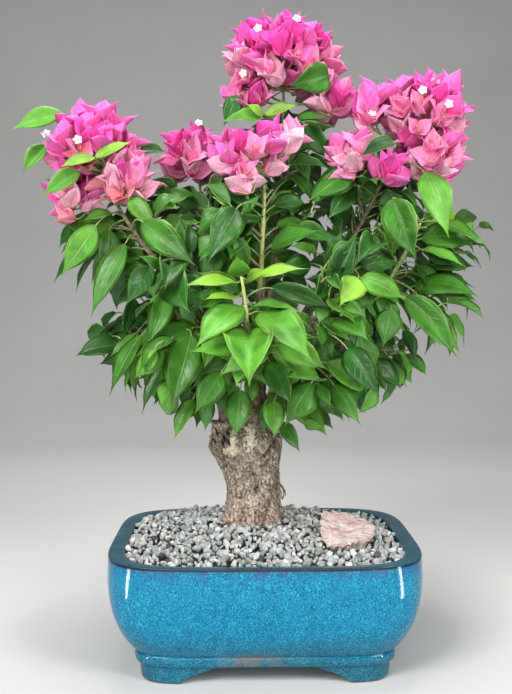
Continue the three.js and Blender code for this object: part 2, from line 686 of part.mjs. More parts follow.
// A head of blossom: flowers whose pedicels spread from one stem
function makeHead(name, head, spaces, guarded, seed) {
  const random = seeded(seed);
  const space = `blossom_${name}`;
  const half = new THREE.Vector3(...head.half);
  const centre = new THREE.Vector3(...head.centre);
  const joint = stemCurve(SHOOTS[head.shoot]);
  const start = joint.getPointAt(1).addScaledVector(joint.getTangentAt(1), GAP);
  const bend = start.clone().addScaledVector(joint.getTangentAt(1), HEAD_BEND * start.distanceTo(centre));
  const stem = new THREE.QuadraticBezierCurve3(start, bend, centre);
  let mass = limb(stem, [STEM_RADII[1], STEM_RADII[1]], STEM_SIDES, STEM_STEPS);
  for (let k = 0; k < head.flowers; k += 1) {
    const height = 1 - HEAD_COVER * (k + 0.5) / head.flowers;
    const round = k * GOLDEN_ANGLE + HEAD_TURN * random();
    const level = Math.sqrt(1 - height * height);
    const spread = new THREE.Vector3(level * Math.cos(round), level * Math.sin(round), height);
    const inner = half.clone().addScalar(-BRACT_LENGTH * BRACT_TIP.rise);
    const base = centre.clone().add(spread.clone().multiply(inner));
    const axis = blend([spread, 1], [up, HEAD_LIFT]);
    const root = stem.getPointAt(1 - PEDICEL_RUN * (k + 0.5) / head.flowers);
    for (let attempt = 0; attempt < FLOWER_TRIES; attempt += 1) {
      const lean = blend([axis, 1], [scatter(random), FLOWER_LEAN * attempt]);
      const turn = FLOWER_TURN * random();
      const size = drawn(FLOWER_SIZES, random);
      const neck = root.clone().lerp(base, PEDICEL_BARE);
      const { shape: cup, corners } = flowerFrom(neck, base, lean, turn, size);
      if (within(spaces, space, corners) && cup.intersect(mass.add(guarded)).isEmpty()) {
        mass = mass.add(flowerFrom(root, base, lean, turn, size).shape);
        break;
      }
    }
  }
  return largest(mass);
}

const bonsai = new THREE.Group();
const stone = makeStone(0);
const trunk = makeTrunk(0);
const { boughs, guarded } = makeBoughs();
const spaces = makeSpaces();
const leafMiddles = [CROWN_HEART];
bonsai.add(mesh('pot', makePot(), materials.glaze));
bonsai.add(mesh('gravel', makeGravel().add(makeGrains()).subtract(makeStone(GAP)), materials.gravel));
bonsai.add(mesh('stone', stone, materials.stone));
bonsai.add(mesh('trunk', trunk, materials.bark));
Object.entries(boughs).forEach(([name, bough]) => {
  bonsai.add(mesh(`bough_${name}`, bough, materials.bark));
});
Object.entries(SHOOTS).forEach(([name, shoot], index) => {
  const leaves = makeShoot(name, shoot, spaces, guarded, leafMiddles, SEEDS.shoots + index);
  bonsai.add(mesh(`leaves_${name}`, leaves, materials.leaf));
});
Object.entries(HEADS).forEach(([name, head], index) => {
  const blossom = makeHead(name, head, spaces, guarded, SEEDS.heads + index);
  bonsai.add(mesh(`blossom_${name}`, blossom, materials.blossom));
});

// The origin is under the middle of the whole plant, at the height that the pot stands on
const extent = new THREE.Box3().setFromObject(bonsai);
const middle = extent.getCenter(new THREE.Vector3());
bonsai.position.set(-middle.x, -middle.y, -extent.min.z);

const part = new THREE.Group();
part.add(bonsai);

export default part;
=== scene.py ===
"""Looks of a bougainvillea bonsai in a glazed pot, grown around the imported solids.

Places and sizes are in millimetres from the middle of the pot's underside, as in the part's source:
X runs along the pot, the front faces -Y and +Z is up. add_piece turns them into the frame's metres.
"""
import math

import bmesh
import bpy
import numpy as np
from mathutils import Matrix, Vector, noise


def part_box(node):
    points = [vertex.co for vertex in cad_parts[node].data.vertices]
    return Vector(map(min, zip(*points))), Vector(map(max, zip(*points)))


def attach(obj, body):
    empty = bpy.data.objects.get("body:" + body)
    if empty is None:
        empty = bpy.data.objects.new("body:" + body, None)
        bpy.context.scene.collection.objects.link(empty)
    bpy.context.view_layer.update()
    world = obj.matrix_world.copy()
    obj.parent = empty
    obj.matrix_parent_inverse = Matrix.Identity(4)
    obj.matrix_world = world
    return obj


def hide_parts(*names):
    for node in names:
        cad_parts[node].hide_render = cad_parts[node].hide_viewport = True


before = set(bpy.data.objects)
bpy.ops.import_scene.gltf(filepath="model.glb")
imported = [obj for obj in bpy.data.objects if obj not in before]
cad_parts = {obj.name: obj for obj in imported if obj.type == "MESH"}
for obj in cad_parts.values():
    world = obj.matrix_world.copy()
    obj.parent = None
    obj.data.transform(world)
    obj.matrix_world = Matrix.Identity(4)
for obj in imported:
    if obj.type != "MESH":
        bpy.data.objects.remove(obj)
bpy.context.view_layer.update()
pot_low, pot_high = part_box("pot")
POT_MIDDLE = np.array([(pot_low.x + pot_high.x) / 2, (pot_low.y + pot_high.y) / 2, 0.0])
MILLIMETRE = 0.001
UP = np.array([0.0, 0.0, 1.0])
FRONT = np.array([0.0, -1.0, 0.0])
LEVEL = np.array([1.0, 1.0, 0.0])
GOLDEN_ANGLE = math.pi * (3 - math.sqrt(5))

# Camera: its place, its turns in degrees and its lens
CAMERA_PLACE = np.array([-21.6, -792.0, 329.4])
CAMERA_PITCH = 3.1438
CAMERA_YAW = 1.0439
FRAME_HEIGHT = 694
FOCAL_PIXELS = 846.1
SENSOR = 36.0

# Pot
POT_LENGTH = 280
POT_DEPTH = 208
POT_HEIGHT = 107.5
RIM_SQUARENESS = 4.8
MIDDLE_SQUARENESS = 6
BASE_SQUARENESS = 8
LIP_WIDTH = 14
LIP_ROUND = 0.8
LIP_SLOPE = 0.7
INNER_ROUND = 1.2
BELLY_TOP = 94
RIM_SIDE = (0.05, 100)
BELLY_PULLS = [(8, 42), (0, 66)]
BAND_TOP = 25
BAND_INSET = 24.5
BAND_BULGE = 1.6
FOOT_HEIGHT = 15.5
FOOT_INSET = 28
FOOT_WIDTH = 21
FOOT_OVERLAP = 3
FOOT_ROUND = 3.0
FRONT_ARCH = (75, 35)
SIDE_ARCH = (47, 14)
ARCH_PULLS = ((9, 10), (18, 8))
WALL_INSETS = [(16, 95), (23, 50), (40, 30)]
POT_SIDE_POINTS = 44
POT_WOBBLE = 0.35

# Gravel: each tone has its dark and light colours and its share of the grains
GROUND = 116
GRAVEL_EDGE = 105
PAD_RADIUS = 40
MOUND_RADIUS = 150
BED_RINGS = 40
BED_DROP = 4.6
BED_SKIRT = (23.5, 52.0)
# Near-black colours of the bed: painted shade in the gaps between grains
BED_SHADE_TONES = ((0.012, 0.012, 0.011), (0.05, 0.05, 0.047))
GRAVEL_SEED = 5
GRAIN_SIZES = (4.3, 7.8)
GRAIN_STRETCH = (0.52, 1.4)
GRAIN_PITCH = 5.6
GRAIN_SHIFT = 2.2
GRAIN_LIFT = 1.4
GRAIN_LAYERS = (-7.6, -1.6)
GRAIN_KINDS = 24
GRAIN_FLATS = 10
FLAT_DEPTHS = (0.44, 0.86)
# Share of the lower layer's grains in the dark tone: painted shade in the gaps between the upper grains
GAP_SHADE_SHARE = 0.92
GRAVEL_TONES = {
    "grey": ((0.2, 0.21, 0.205), (0.56, 0.58, 0.57), 0.51),
    "pale": ((0.36, 0.37, 0.355), (0.78, 0.785, 0.76), 0.25),
    "green": ((0.16, 0.18, 0.165), (0.42, 0.45, 0.415), 0.17),
    "tan": ((0.26, 0.21, 0.175), (0.52, 0.45, 0.385), 0.03),
    # Dark grains: a few real ones on top, and most of the lower layer as painted shade
    "dark": ((0.025, 0.026, 0.026), (0.1, 0.104, 0.1), 0.04),
}

# Loose stone: its outline from above, its front edge, and how its fibres bend and fade
STONE_OUTLINE = np.array([
    (53.7, -9.0), (57.7, -6.7), (79.1, -9.1), (85.8, -14.8), (101.2, -18.3), (103.7, -26.0), (95.5, -37.9),
    (79.6, -40.9), (70.1, -45.1), (55.8, -43.9), (51.5, -37.6), (52.4, -22.4),
])
STONE_FRONT = (-45.1, 110.0)
STONE_SLOPE = 0.577
STONE_BASE = 101.0
STONE_FIBRES = (2.0, 2.5)
STONE_UNDERCUT = 0.34
STONE_COLUMNS = 240
STONE_RINGS = 52
STONE_WALL_ROWS = 12

# Trunk: heights over the ground with middle and half width, then arms by ends and radii
TRUNK_Y = 28
TRUNK_STATIONS = np.array([
    (0, -11.8, 29.5), (9, -10, 26.5), (28, -9, 26), (48, -10.5, 27.5),
    (60, -13.5, 31), (72, -16.5, 35.5), (83, -16, 34), (93, -13, 25),
])
TRUNK_DEPTH = 0.92
ARMS = {
    "stub": ((-28, 28, 176), (-36, 25, 214), (18, 14)),
    "centre": ((-10, 28, 186), (-5, 32, 250), (17, 8)),
    "right_arm": ((6, 28, 186), (14, 28, 244), (13, 8)),
}
TRUNK_VOXEL = 0.9
TRUNK_SMOOTHING = 6
TRUNK_DOME = 26.0
SCAR = ((16.0, 201.0), (-1.0, 181.0))
PALE_PATCHES = (((-12.5, 200.0), (5.5, 12.0)), ((-31.0, 187.0), (7.5, 4.5)), ((-29.0, 200.0), (2.6, 10.0)))
ROOTLET_RADIUS = 0.55
ROOTLETS = (
    ((9, 4, 141), (17, -4, 129), (31, -12, 117)),
    ((11, 1, 134), (15, -6, 127), (18, -8, 116)),
    ((-1, 0, 131), (-4, -5, 124), (-6, -8, 115)),
    ((16, 8, 136), (26, 2, 126), (38, 2, 115)),
    ((6, 0, 127), (9, -6, 121), (8, -10, 114)),
)
FLAKE_RADIUS = 1.0
FLAKES = (
    ((14, 12, 156), (24, 10, 149), (18, 9, 139)),
    ((15, 10, 157), (22, 7, 150), (21, 6, 143)),
    ((12, 6, 154), (19, 2, 150), (17, 1, 142)),
    ((11, 5, 150), (17, 0, 146), (15, -1, 138)),
)

# Boughs and shoots: the limb that a bough leaves and where, its tip, and the end of the shoot's stem
SHOOTS = {
    "top": ("centre", 1, (12, 40, 372), (19, 38, 492)),
    "right_upper": ("right_arm", 1, (72, 30, 366), (114, 16, 446)),
    "left": ("centre", 0.9, (-86, 2, 350), (-134, -8, 416)),
    "mid": ("centre", 0.82, (-4, -10, 338), (0, -25, 426)),
    "back_left": ("centre", 0.75, (-38, 66, 345), (-62, 76, 438)),
    "back": ("centre", 0.6, (2, 92, 334), (5, 135, 417)),
    "back_right": ("right_arm", 0.8, (54, 78, 330), (111, 110, 399)),
    "right": ("right_arm", 0.9, (100, 22, 316), (146, 0, 402)),
    "left_low": ("stub", 1, (-62, 18, 276), (-104, 10, 320)),
    "front_left": ("stub", 0.7, (-46, -16, 260), (-74, -50, 310)),
    "front": ("centre", 0.5, (-12, -28, 276), (-20, -82, 348)),
    "front_right": ("right_arm", 0.45, (26, -18, 256), (44, -60, 310)),
    "right_low": ("right_arm", 0.6, (58, 0, 264), (95, -18, 322)),
    "front_upper_left": ("left", 0.42, (-52, -14, 318), (-66, -44, 366)),
    "front_upper_right": ("right_upper", 0.4, (48, -8, 312), (66, -42, 362)),
    "back_low": ("back", 0.35, (4, 92, 262), (2, 142, 296)),
    "back_left_low": ("back_left", 0.3, (-48, 78, 276), (-88, 102, 316)),
    "back_right_low": ("back_right", 0.3, (56, 80, 276), (96, 106, 316)),
}
SHOOT_SEED = 100
CROWN_HEART = np.array([0.0, 28.0, 300.0])
LIMB_TAPER = 0.62
BOUGH_RADII = (5.6, 2.8)
BOUGH_SIDES = 14
SIDE_BOUGH_SHARE = 0.7
BOUGH_EASE = (0.5, 0.35, 0.3)
STEM_BOW = 0.12
STEM_RADII = (2.6, 1.5)
STEM_KINDS = {"front": "green", "right": "green", "mid": "young"}
TWIGS = 5
TWIG_TRIES = 6
TWIG_SPAN = (0.16, 0.92)
TWIG_LENGTHS = (31, 57)
TWIG_RADII = (1.5, 0.9)
FINE_TWIGS = 3
FINE_TWIG_LENGTHS = (14, 26)
FINE_TWIG_RADII = (1.0, 0.7)
TWIG_CLEAR = 24.0
TWIG_ROOM = 4.2
TWIG_LIMB_ROOM = 8.0
SPUR_SPAN = (0.3, 0.98)
SPUR_DROP = 16.0
REACH_MARGIN = 8.0
HEAD_REACH = 24.0
CROWN_EDGE = (190.0, 58.0, 0.68)
CROWD_CELL = 12.0
NEXT_CELLS = np.stack(np.meshgrid(*[(-1, 0, 1)] * 3), -1).reshape(-1, 3)

# Leaves: the outline has the rise and fall of the egg, its share of the length and the tip's width
LEAF_PITCH = 4.5
LEAF_LENGTH = 57
LEAF_WIDTH = 0.54
LEAF_OUTLINE = (0.78, 1.08, 0.88, 0.19)
LEAF_THICKNESS = 0.4
LEAF_SPREADS = {
    "width": (0.9, 1.1), "bend": (0.35, 1.4), "fold": (0.2, 0.8), "roll": (0.0, 0.4),
    "wave": (0.04, 0.18), "beats": (1.2, 2.4), "phase": (0, 6), "twist": (-0.6, 0.6),
}
LEAF_SIZES = (0.52, 1.14)
LEAF_HANG = ((240, 1.0), (440, 0.22))
LEAF_TRIES = 18
LEAF_ROOM = 3.5
LEAF_LIMB_ROOM = 6.0
LEAF_EDGE_ON = 0.93
STALK_ROOM = 2.4
LEAF_PROBE = 6
YOUNG_RIPE = 0.75
LIGHT_TURN = 1.1
PETIOLE_LENGTHS = (9, 17)
PETIOLE_RADIUS = 0.75

# Leaf colours: blade, veins, margin and roughness; then the tones of each spray
LEAF_TONES = {
    "deep": ((0.021, 0.096, 0.013), (0.08, 0.22, 0.04), (0.17, 0.36, 0.045), 0.3),
    "mid": ((0.04, 0.158, 0.015), (0.12, 0.31, 0.045), (0.25, 0.46, 0.06), 0.32),
    "fresh": ((0.085, 0.275, 0.026), (0.2, 0.45, 0.07), (0.34, 0.58, 0.09), 0.35),
    "young": ((0.19, 0.4, 0.035), (0.36, 0.58, 0.1), (0.48, 0.66, 0.14), 0.38),
}
UNDERSIDE = ((0.12, 0.27, 0.075), (0.2, 0.38, 0.13), (0.22, 0.42, 0.12), 0.6)
SPRAY_TONES = {
    "front": ("mid", "fresh", "mid", "fresh"),
    "right": ("mid", "fresh", "deep", "young"),
    "front_upper_right": ("mid", "fresh", "deep"),
    "right_low": ("mid", "deep", "fresh"),
    "front_left": ("mid", "fresh", "mid", "fresh"),
    "front_right": ("mid", "fresh", "mid"),
    "left": ("mid", "deep", "fresh", "mid"),
    "top": ("deep", "mid", "mid"),
}
OTHER_TONES = ("deep", "mid", "mid", "deep")

# Leaves that stand out at the front: root, tip, width as a share of the length, roll in degrees, tone
POSED_LEAVES = [
    ((-22, -86, 325), (-56, -136, 293), 0.52, -30, "fresh"),
    ((-4, -86, 320), (33, -138, 283), 0.52, 30, "fresh"),
    ((-15, -92, 304), (-15, -148, 264), 0.72, 0, "fresh"),
    ((-25, -84, 344), (-70, -100, 340), 0.5, -62, "young"),
    ((-22, -86, 349), (-25, -108, 366), 0.72, 0, "fresh"),
    ((-16, -84, 344), (34, -98, 355), 0.46, 62, "young"),
    ((-17, -85, 347), (1, -104, 353), 0.5, 40, "young"),
    ((-12, -84, 323), (26, -100, 321), 0.45, 66, "fresh"),
    ((-25, -84, 332), (-51, -104, 330), 0.5, -60, "young"),
    ((-183, -14, 499), (-227, -18, 483), 0.46, 25, "fresh"),
    ((-196, -22, 468), (-216, -26, 444), 0.62, 15, "fresh"),
    ((-162, -44, 442), (-193, -50, 419), 0.52, 20, "fresh"),
    ((-146, -58, 452), (-115, -60, 464), 0.5, 48, "young"),
    ((-146, -58, 451), (-175, -60, 443), 0.5, 48, "young"),
    ((-121, -30, 422), (-97, -40, 393), 0.5, 10, "fresh"),
    ((-117, 20, 472), (-92, 20, 470), 0.6, 30, "deep"),
    ((59, -6, 536), (24, -14, 524), 0.9, 0, "mid"),
    ((-24, 10, 521), (-37, 6, 492), 0.62, 0, "deep"),
    ((-2, 0, 497), (-39, -8, 492), 0.55, 48, "fresh"),
    ((-1, 0, 500), (-16, -10, 508), 0.6, 30, "young"),
    ((1, 0, 501), (31, -8, 508), 0.5, 42, "young"),
    ((28, 5, 497), (62, 0, 497), 0.45, 55, "mid"),
    ((39, 24, 498), (64, 20, 462), 0.62, 0, "deep"),
    ((24, -10, 453), (58, -20, 449), 0.5, 42, "mid"),
    ((113, -44, 468), (83, -50, 455), 0.62, 30, "deep"),
    ((83, -6, 450), (40, -26, 419), 0.56, 15, "mid"),
    ((82, -2, 435), (57, -16, 402), 0.55, 0, "deep"),
    ((112, -40, 419), (131, -56, 365), 0.6, 0, "mid"),
    ((145, -22, 445), (163, -40, 385), 0.5, 15, "fresh"),
    ((163, -6, 402), (204, -16, 379), 0.42, 50, "fresh"),
    ((146, -10, 376), (183, -22, 360), 0.42, 50, "fresh"),
    ((126, -36, 332), (166, -60, 281), 0.5, 20, "mid"),
    ((150, -20, 324), (175, -38, 282), 0.45, 25, "fresh"),
    ((81, -66, 349), (117, -82, 330), 0.62, 25, "fresh"),
    ((79, -70, 348), (61, -86, 325), 0.85, 0, "young"),
    ((110, -56, 322), (100, -72, 290), 0.72, 0, "mid"),
    ((69, -74, 289), (94, -94, 250), 0.62, 0, "deep"),
    ((60, -52, 256), (82, -68, 222), 0.5, 0, "mid"),
    ((40, -62, 258), (16, -80, 224), 0.72, 0, "mid"),
    ((35, -40, 220), (51, -48, 218), 0.7, 0, "fresh"),
    ((8, -46, 240), (8, -60, 210), 0.66, 0, "fresh"),
    ((16, -36, 220), (31, -48, 195), 0.55, 0, "mid"),
    ((-22, -50, 251), (-26, -64, 211), 0.62, 0, "mid"),
    ((-64, -62, 300), (-80, -84, 240), 0.58, 0, "mid"),
    ((-38, -66, 268), (-60, -84, 235), 0.62, 0, "mid"),
    ((-86, -50, 335), (-99, -70, 293), 0.62, 0, "mid"),
    ((-100, -42, 359), (-121, -58, 325), 0.6, 0, "deep"),
    ((-107, -50, 398), (-60, -74, 359), 0.46, 0, "mid"),
    ((-25, -72, 407), (-48, -94, 361), 0.58, 0, "deep"),
    ((-151, -26, 397), (-181, -36, 351), 0.5, 0, "fresh"),
    ((-110, -36, 299), (-136, -50, 247), 0.42, 45, "mid"),
    ((3, -72, 278), (21, -90, 242), 0.62, 0, "mid"),
    ((-64, -38, 242), (-80, -50, 206), 0.45, 25, "fresh"),
    ((-51, -44, 248), (-53, -56, 215), 0.5, 20, "mid"),
    ((5, -62, 340), (56, -74, 323), 0.42, 20, "deep"),
    ((43, -20, 363), (11, -34, 357), 0.65, 0, "mid"),
    ((47, -24, 373), (22, -36, 378), 0.5, 30, "fresh"),
    ((-142, -10, 394), (-145, -22, 352), 0.6, 10, "mid"),
    ((-124, -34, 380), (-152, -48, 316), 0.36, 25, "mid"),
    ((-120, -6, 298), (-141, -14, 278), 0.45, 35, "fresh"),
    ((-87, -38, 276), (-108, -50, 230), 0.32, 40, "deep"),
    ((-120, -12, 333), (-129, -22, 296), 0.45, 30, "deep"),
    ((126, -30, 303), (135, -40, 274), 0.5, 20, "deep"),
]
SIGHT_PITCH = 5.0
LEAF_SIGHT = np.arange(6.0, 54.0, 6.0)
TRUNK_SIGHT = np.arange(5.0, 122.0, 5.0)
HEAD_SIGHT = np.arange(4.0, 70.0, 5.0)
TRUNK_FRONT = 26.0
SEEN_STEMS = ("left", "mid", "right_upper", "right")
SEEN_WIDTH = 3.5
SEEN_TRUNK = (((-50, 30), (116, 196)), ((-52, -24), (196, 214)))
POSED_WIDTH = 0.9
POSED_BENDS = (0.35, 0.7)
POSED_TWISTS = (-0.15, 0.15)
FRONT_SHOOT = ((-15, -84, 296), (-16, -97, 322), (-21, -96, 349))

# Heads of blossom: the shoot that carries each and its middle, then the lobes by middle and half size
HEADS = {
    "left": ("left", (-144, -6, 453)),
    "right": ("right_upper", (136, 12, 492)),
    "top": ("top", (21, 38, 556)),
    "mid": ("mid", (-14, -34, 466)),
    "back_left": ("back_left", (-58, 80, 484)),
}
HEAD_LOBES = {
    "left": [
        ((-155, -6, 472), (44, 48, 37)),
        ((-124, -14, 441), (30, 34, 23)),
        ((-174, -10, 430), (25, 28, 25)),
    ],
    "right": [
        ((151, 12, 508), (41, 47, 38)),
        ((101, 2, 511), (22, 26, 23)),
        ((80, -6, 468), (21, 26, 23)),
        ((113, -14, 454), (20, 24, 16)),
        ((158, 6, 471), (31, 39, 27)),
    ],
    "top": [
        ((20, 38, 564), (56, 53, 40)),
        ((68, 34, 527), (20, 22, 17)),
        ((-14, 30, 529), (23, 26, 18)),
    ],
    "mid": [
        ((-13, -34, 465), (39, 36, 24)),
        ((16, -30, 477), (22, 26, 18)),
        ((-17, -44, 447), (17, 20, 15)),
    ],
    "back_left": [
        ((-71, 80, 480), (29, 36, 34)),
    ],
}
STARS = {
    "left": ((-192, -30, 478), (-158, -30, 481)),
    "right": ((152, -10, 532), (186, -5, 505)),
    "top": ((-19, 0, 537), (1, 10, 583), (35, 30, 600)),
    "back_left": ((-66, 60, 504),),
}
HEAD_SEED = 200
POSED_SEED = 50
HEAD_BEND = 0.3
HEAD_COVER = 1.66
LOBE_OVERLAP = 0.8
LOBE_STEM_RADII = (1.2, 0.8)
HEAD_STEM_RADII = (1.5, 0.9)
SMALL_LOBE = 24
INNER_SHELL = 0.62
INNER_PART = 0.5
FLOWER_DENSITY = 0.0066
FLOWER_TRIES = 8
OPEN_SHARE = 0.1
OPEN_LEVEL = -0.2
FADED_HEAD = "left"
PEDICEL_RADII = (0.8, 0.6)
TUBE_LENGTH = 13.0
TUBE_RADII = np.array([0.55, 0.75, 0.7, 0.6, 0.85, 0.5])
SHOWN_TUBE_RADII = np.full(8, 0.8)
STAR_LOBES = 5
STAR_RADIUS = 4.1
STAR_ROWS = ((1.0, 0.2), (0.62, 0.55), (0.25, 0.1), (0.12, -1.5), (0.2, -1.84), (0.3, -0.64), (0.62, 0.11))

# Bracts: sizes, then the colours of blade, tip and root, and the tones of each part of a head
BRACT_LENGTH = 29.0
BRACT_WIDTH = 0.74
BRACT_OUTLINE = (0.58, 0.9, 0.95, 0.1)
BRACT_THICKNESS = 0.25
BRACT_SPREADS = {
    "width": (0.9, 1.12), "bend": (-0.3, 0.6), "fold": (0.1, 0.5), "roll": (-0.3, 0.1),
    "wave": (0.06, 0.2), "beats": (1.2, 2.4), "phase": (0, 6), "twist": (-0.25, 0.25),
}
BRACT_SIZES = (0.82, 1.12)
BRACT_TILTS = (0.3, 0.7)
BRACT_ROOM = 1.5
BRACT_RISE = 0.86
BRACT_PROBE = slice(6, None, 7)
LOW_LEVEL = 0.22
BRACT_TONES = {
    "magenta": ((0.72, 0.068, 0.28), (0.76, 0.082, 0.41), (0.62, 0.2, 0.17)),
    "pink": ((0.79, 0.122, 0.33), (0.82, 0.148, 0.47), (0.7, 0.29, 0.23)),
    "rose": ((0.82, 0.215, 0.37), (0.85, 0.26, 0.48), (0.7, 0.37, 0.27)),
    "salmon": ((0.77, 0.225, 0.23), (0.82, 0.28, 0.35), (0.6, 0.36, 0.21)),
    "pale": ((0.82, 0.37, 0.45), (0.86, 0.44, 0.57), (0.73, 0.47, 0.34)),
}
HIGH_TONES = ("magenta", "pink", "magenta", "pink", "rose")
LOW_TONES = ("rose", "pale", "pink", "rose")
FADED_TONES = ("rose", "pale", "pink", "salmon")
INNER_TONES = ("salmon", "rose", "magenta", "pink")

# Wood and stem colours: stops of bark from dark to light, then dark and light of each stem
BARK_STOPS = [
    (0.39, (0.08, 0.058, 0.043)), (0.455, (0.22, 0.172, 0.128)), (0.51, (0.4, 0.322, 0.246)),
    (0.56, (0.62, 0.525, 0.41)), (0.62, (0.9, 0.82, 0.68)),
]
# Colour of the trunk's hollows: dark cracks, and painted shade in every recess
BARK_FISSURE_AND_SHADE = (0.02, 0.013, 0.009)
BARK_PALE = (0.96, 0.88, 0.66)
BARK_ROSY = (0.62, 0.43, 0.35)
YOUNG_BARK_STOPS = [
    (0.34, (0.09, 0.065, 0.045)), (0.47, (0.22, 0.165, 0.115)), (0.57, (0.34, 0.27, 0.19)),
    (0.68, (0.46, 0.39, 0.28)),
]
# Colour of the boughs' hollows: painted shade
YOUNG_BARK_SHADE = (0.05, 0.035, 0.025)
STEM_TONES = {
    "root_fibre": ((0.06, 0.036, 0.022), (0.3, 0.2, 0.12)),
    "green_stem": ((0.16, 0.24, 0.06), (0.36, 0.44, 0.16)),
    "brown_stem": ((0.13, 0.1, 0.06), (0.34, 0.28, 0.17)),
    "young_stem": ((0.36, 0.42, 0.1), (0.56, 0.58, 0.22)),
    "pedicel": ((0.26, 0.3, 0.1), (0.46, 0.46, 0.2)),
    "flower_tube": ((0.5, 0.2, 0.16), (0.62, 0.38, 0.24)),
    "white_flower": ((0.8, 0.78, 0.66), (0.9, 0.89, 0.84)),
}

# Stage and lights, in metres and watts: place, target, size and power, the strips' from the pot's middle
FLOOR_FRONT = -2.6
WALL_PLACE = 2.4
WALL_HEIGHT = 3.4
WALL_BEND = 1.3
STAGE_HALF_WIDTH = 4.0
FLOOR_TONES = ((0.6, 0.597, 0.585), (0.64, 0.636, 0.624))
WORLD_TONE = (0.5, 0.52, 0.56, 1.0)
WORLD_STRENGTH = 0.1
LIGHTS = {
    "key": ((-0.85, -1.2, 1.3), (0, 0, 0.33), (0.7, 0.8), 32),
    "fill": ((1.05, -1.05, 1.0), (0, 0, 0.3), (0.6, 0.8), 20),
    "top": ((0.0, 0.1, 1.6), (0, 0, 0.3), (0.8, 0.8), 17),
    "front": ((-0.25, -1.7, 0.55), (0, 0, 0.36), (1.0, 0.7), 9),
}
STRIPS = {
    "left_strip": ((-0.242, -0.166, 0.064), (-0.117, -0.095, 0.064)),
    "right_strip": ((0.233, -0.178, 0.064), (0.1136, -0.0965, 0.064)),
}
STRIP_SIZE = (0.018, 0.076)
STRIP_POWER = 0.13


# Vectors and curves
def unit(vector):
    """A vector, or each row of an array, at length 1."""
    vector = np.asarray(vector, float)
    return vector / np.maximum(np.linalg.norm(vector, axis=-1, keepdims=True), 1e-9)


def blend(*pairs):
    """One direction out of several vectors, each with its weight."""
    return unit(sum(np.asarray(vector, float) * weight for vector, weight in pairs))


def turned(way, angle):
    """A direction square to a way, turned about it by an angle."""
    level = unit(np.cross(way, UP)) if abs(way[2]) < 0.999 else np.array([1.0, 0.0, 0.0])
    return level * math.cos(angle) + np.cross(way, level) * math.sin(angle)


def around(count):
    """Angles evenly round a circle."""
    return np.linspace(0, 2 * math.pi, count, endpoint=False)


def quarter(count):
    """Angles over a quarter turn, with both its ends."""
    return np.linspace(0, math.pi / 2, count)


def ease(values, low, high):
    """0 below low, 1 above high, smooth between."""
    share = np.clip((np.asarray(values, float) - low) / (high - low), 0, 1)
    return share * share * (3 - 2 * share)


def rough(points, scale, seed=0.0):
    """Smooth noise from -1 to 1 at points, with features about as large as scale."""
    offset = Vector((seed, 1.7 * seed, -0.6 * seed))
    return np.array([noise.noise(Vector(point) + offset) for point in points / np.array(scale, float)])


def between(start, end, first, last, count):
    """Points evenly along a straight line, between two shares of it."""
    return start + np.linspace(first, last, count)[:, None] * (end - start)


def line_gap(points, start, end):
    """How far points in a plane are from a straight line between two ends."""
    run = np.subtract(end, start)
    share = np.clip((points - start) @ run / (run @ run), 0, 1)
    return np.linalg.norm(points - start - share[:, None] * run, axis=1)


class Path:
    """A Bezier curve by its control points, read by the share of its length."""

    def __init__(self, *controls):
        share = np.linspace(0, 1, 121)[:, None]
        degree = len(controls) - 1
        self.points = sum(
            math.comb(degree, k) * share**k * (1 - share) ** (degree - k) * np.asarray(control, float)
            for k, control in enumerate(controls)
        )
        steps = np.linalg.norm(np.diff(self.points, axis=0), axis=1)
        self.run = np.concatenate(([0.0], np.cumsum(steps)))
        self.length = self.run[-1]

    def at(self, share):
        run = np.asarray(share) * self.length
        return np.stack([np.interp(run, self.run, self.points[:, k]) for k in range(3)], axis=-1)

    def way(self, share):
        low, high = max(share - 0.01, 0), min(share + 0.01, 1)
        return unit(self.at(high) - self.at(low))

    def rod(self, radii, sides):
        """A tube along the whole path, with its radii evenly spread."""
        return tube(self.at(np.linspace(0, 1, len(radii))), radii, sides)


# Joined meshes
class Joined:
    """Vertices and triangles of many small shapes that become one piece."""

    def __init__(self):
        self.points, self.faces, self.places, self.kinds = [], [], [], []
        self.count = 0

    def add(self, points, faces, place=None, kind=0):
        self.points.append(points)
        self.faces.append(faces + self.count)
        self.places.append(np.zeros((len(points), 2)) if place is None else place)
        self.kinds.append(np.broadcast_to(kind, (len(faces),)))
        self.count += len(points)


def add_piece(name, joined, materials, nodes, smooth=True, values=None):
    """One mesh object in the frame's metres that rides on the body and stands for CAD nodes."""
    points = np.concatenate(joined.points) * MILLIMETRE + POT_MIDDLE
    faces = np.concatenate(joined.faces).astype(np.int32)
    places = np.concatenate(joined.places)
    data = bpy.data.meshes.new(name)
    data.vertices.add(len(points))
    data.vertices.foreach_set("co", points.astype(np.float32).ravel())
    data.loops.add(faces.size)
    data.loops.foreach_set("vertex_index", faces.ravel())
    data.polygons.add(len(faces))
    data.polygons.foreach_set("loop_start", np.arange(0, faces.size, 3, dtype=np.int32))
    data.polygons.foreach_set("material_index", np.concatenate(joined.kinds).astype(np.int32))
    data.polygons.foreach_set("use_smooth", np.full(len(faces), smooth))
    layer = data.uv_layers.new(name="place")
    layer.data.foreach_set("uv", places[faces.ravel()].astype(np.float32).ravel())
    for key, value in (values or {}).items():
        attribute = data.attributes.new(key, "FLOAT", "POINT")
        attribute.data.foreach_set("value", np.asarray(value, np.float32))
    data.update(calc_edges=True)
    data.validate()
    for material in materials:
        data.materials.append(material)
    piece = bpy.data.objects.new(name, data)
    bpy.context.scene.collection.objects.link(piece)
    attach(piece, "root")
    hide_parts(*nodes)


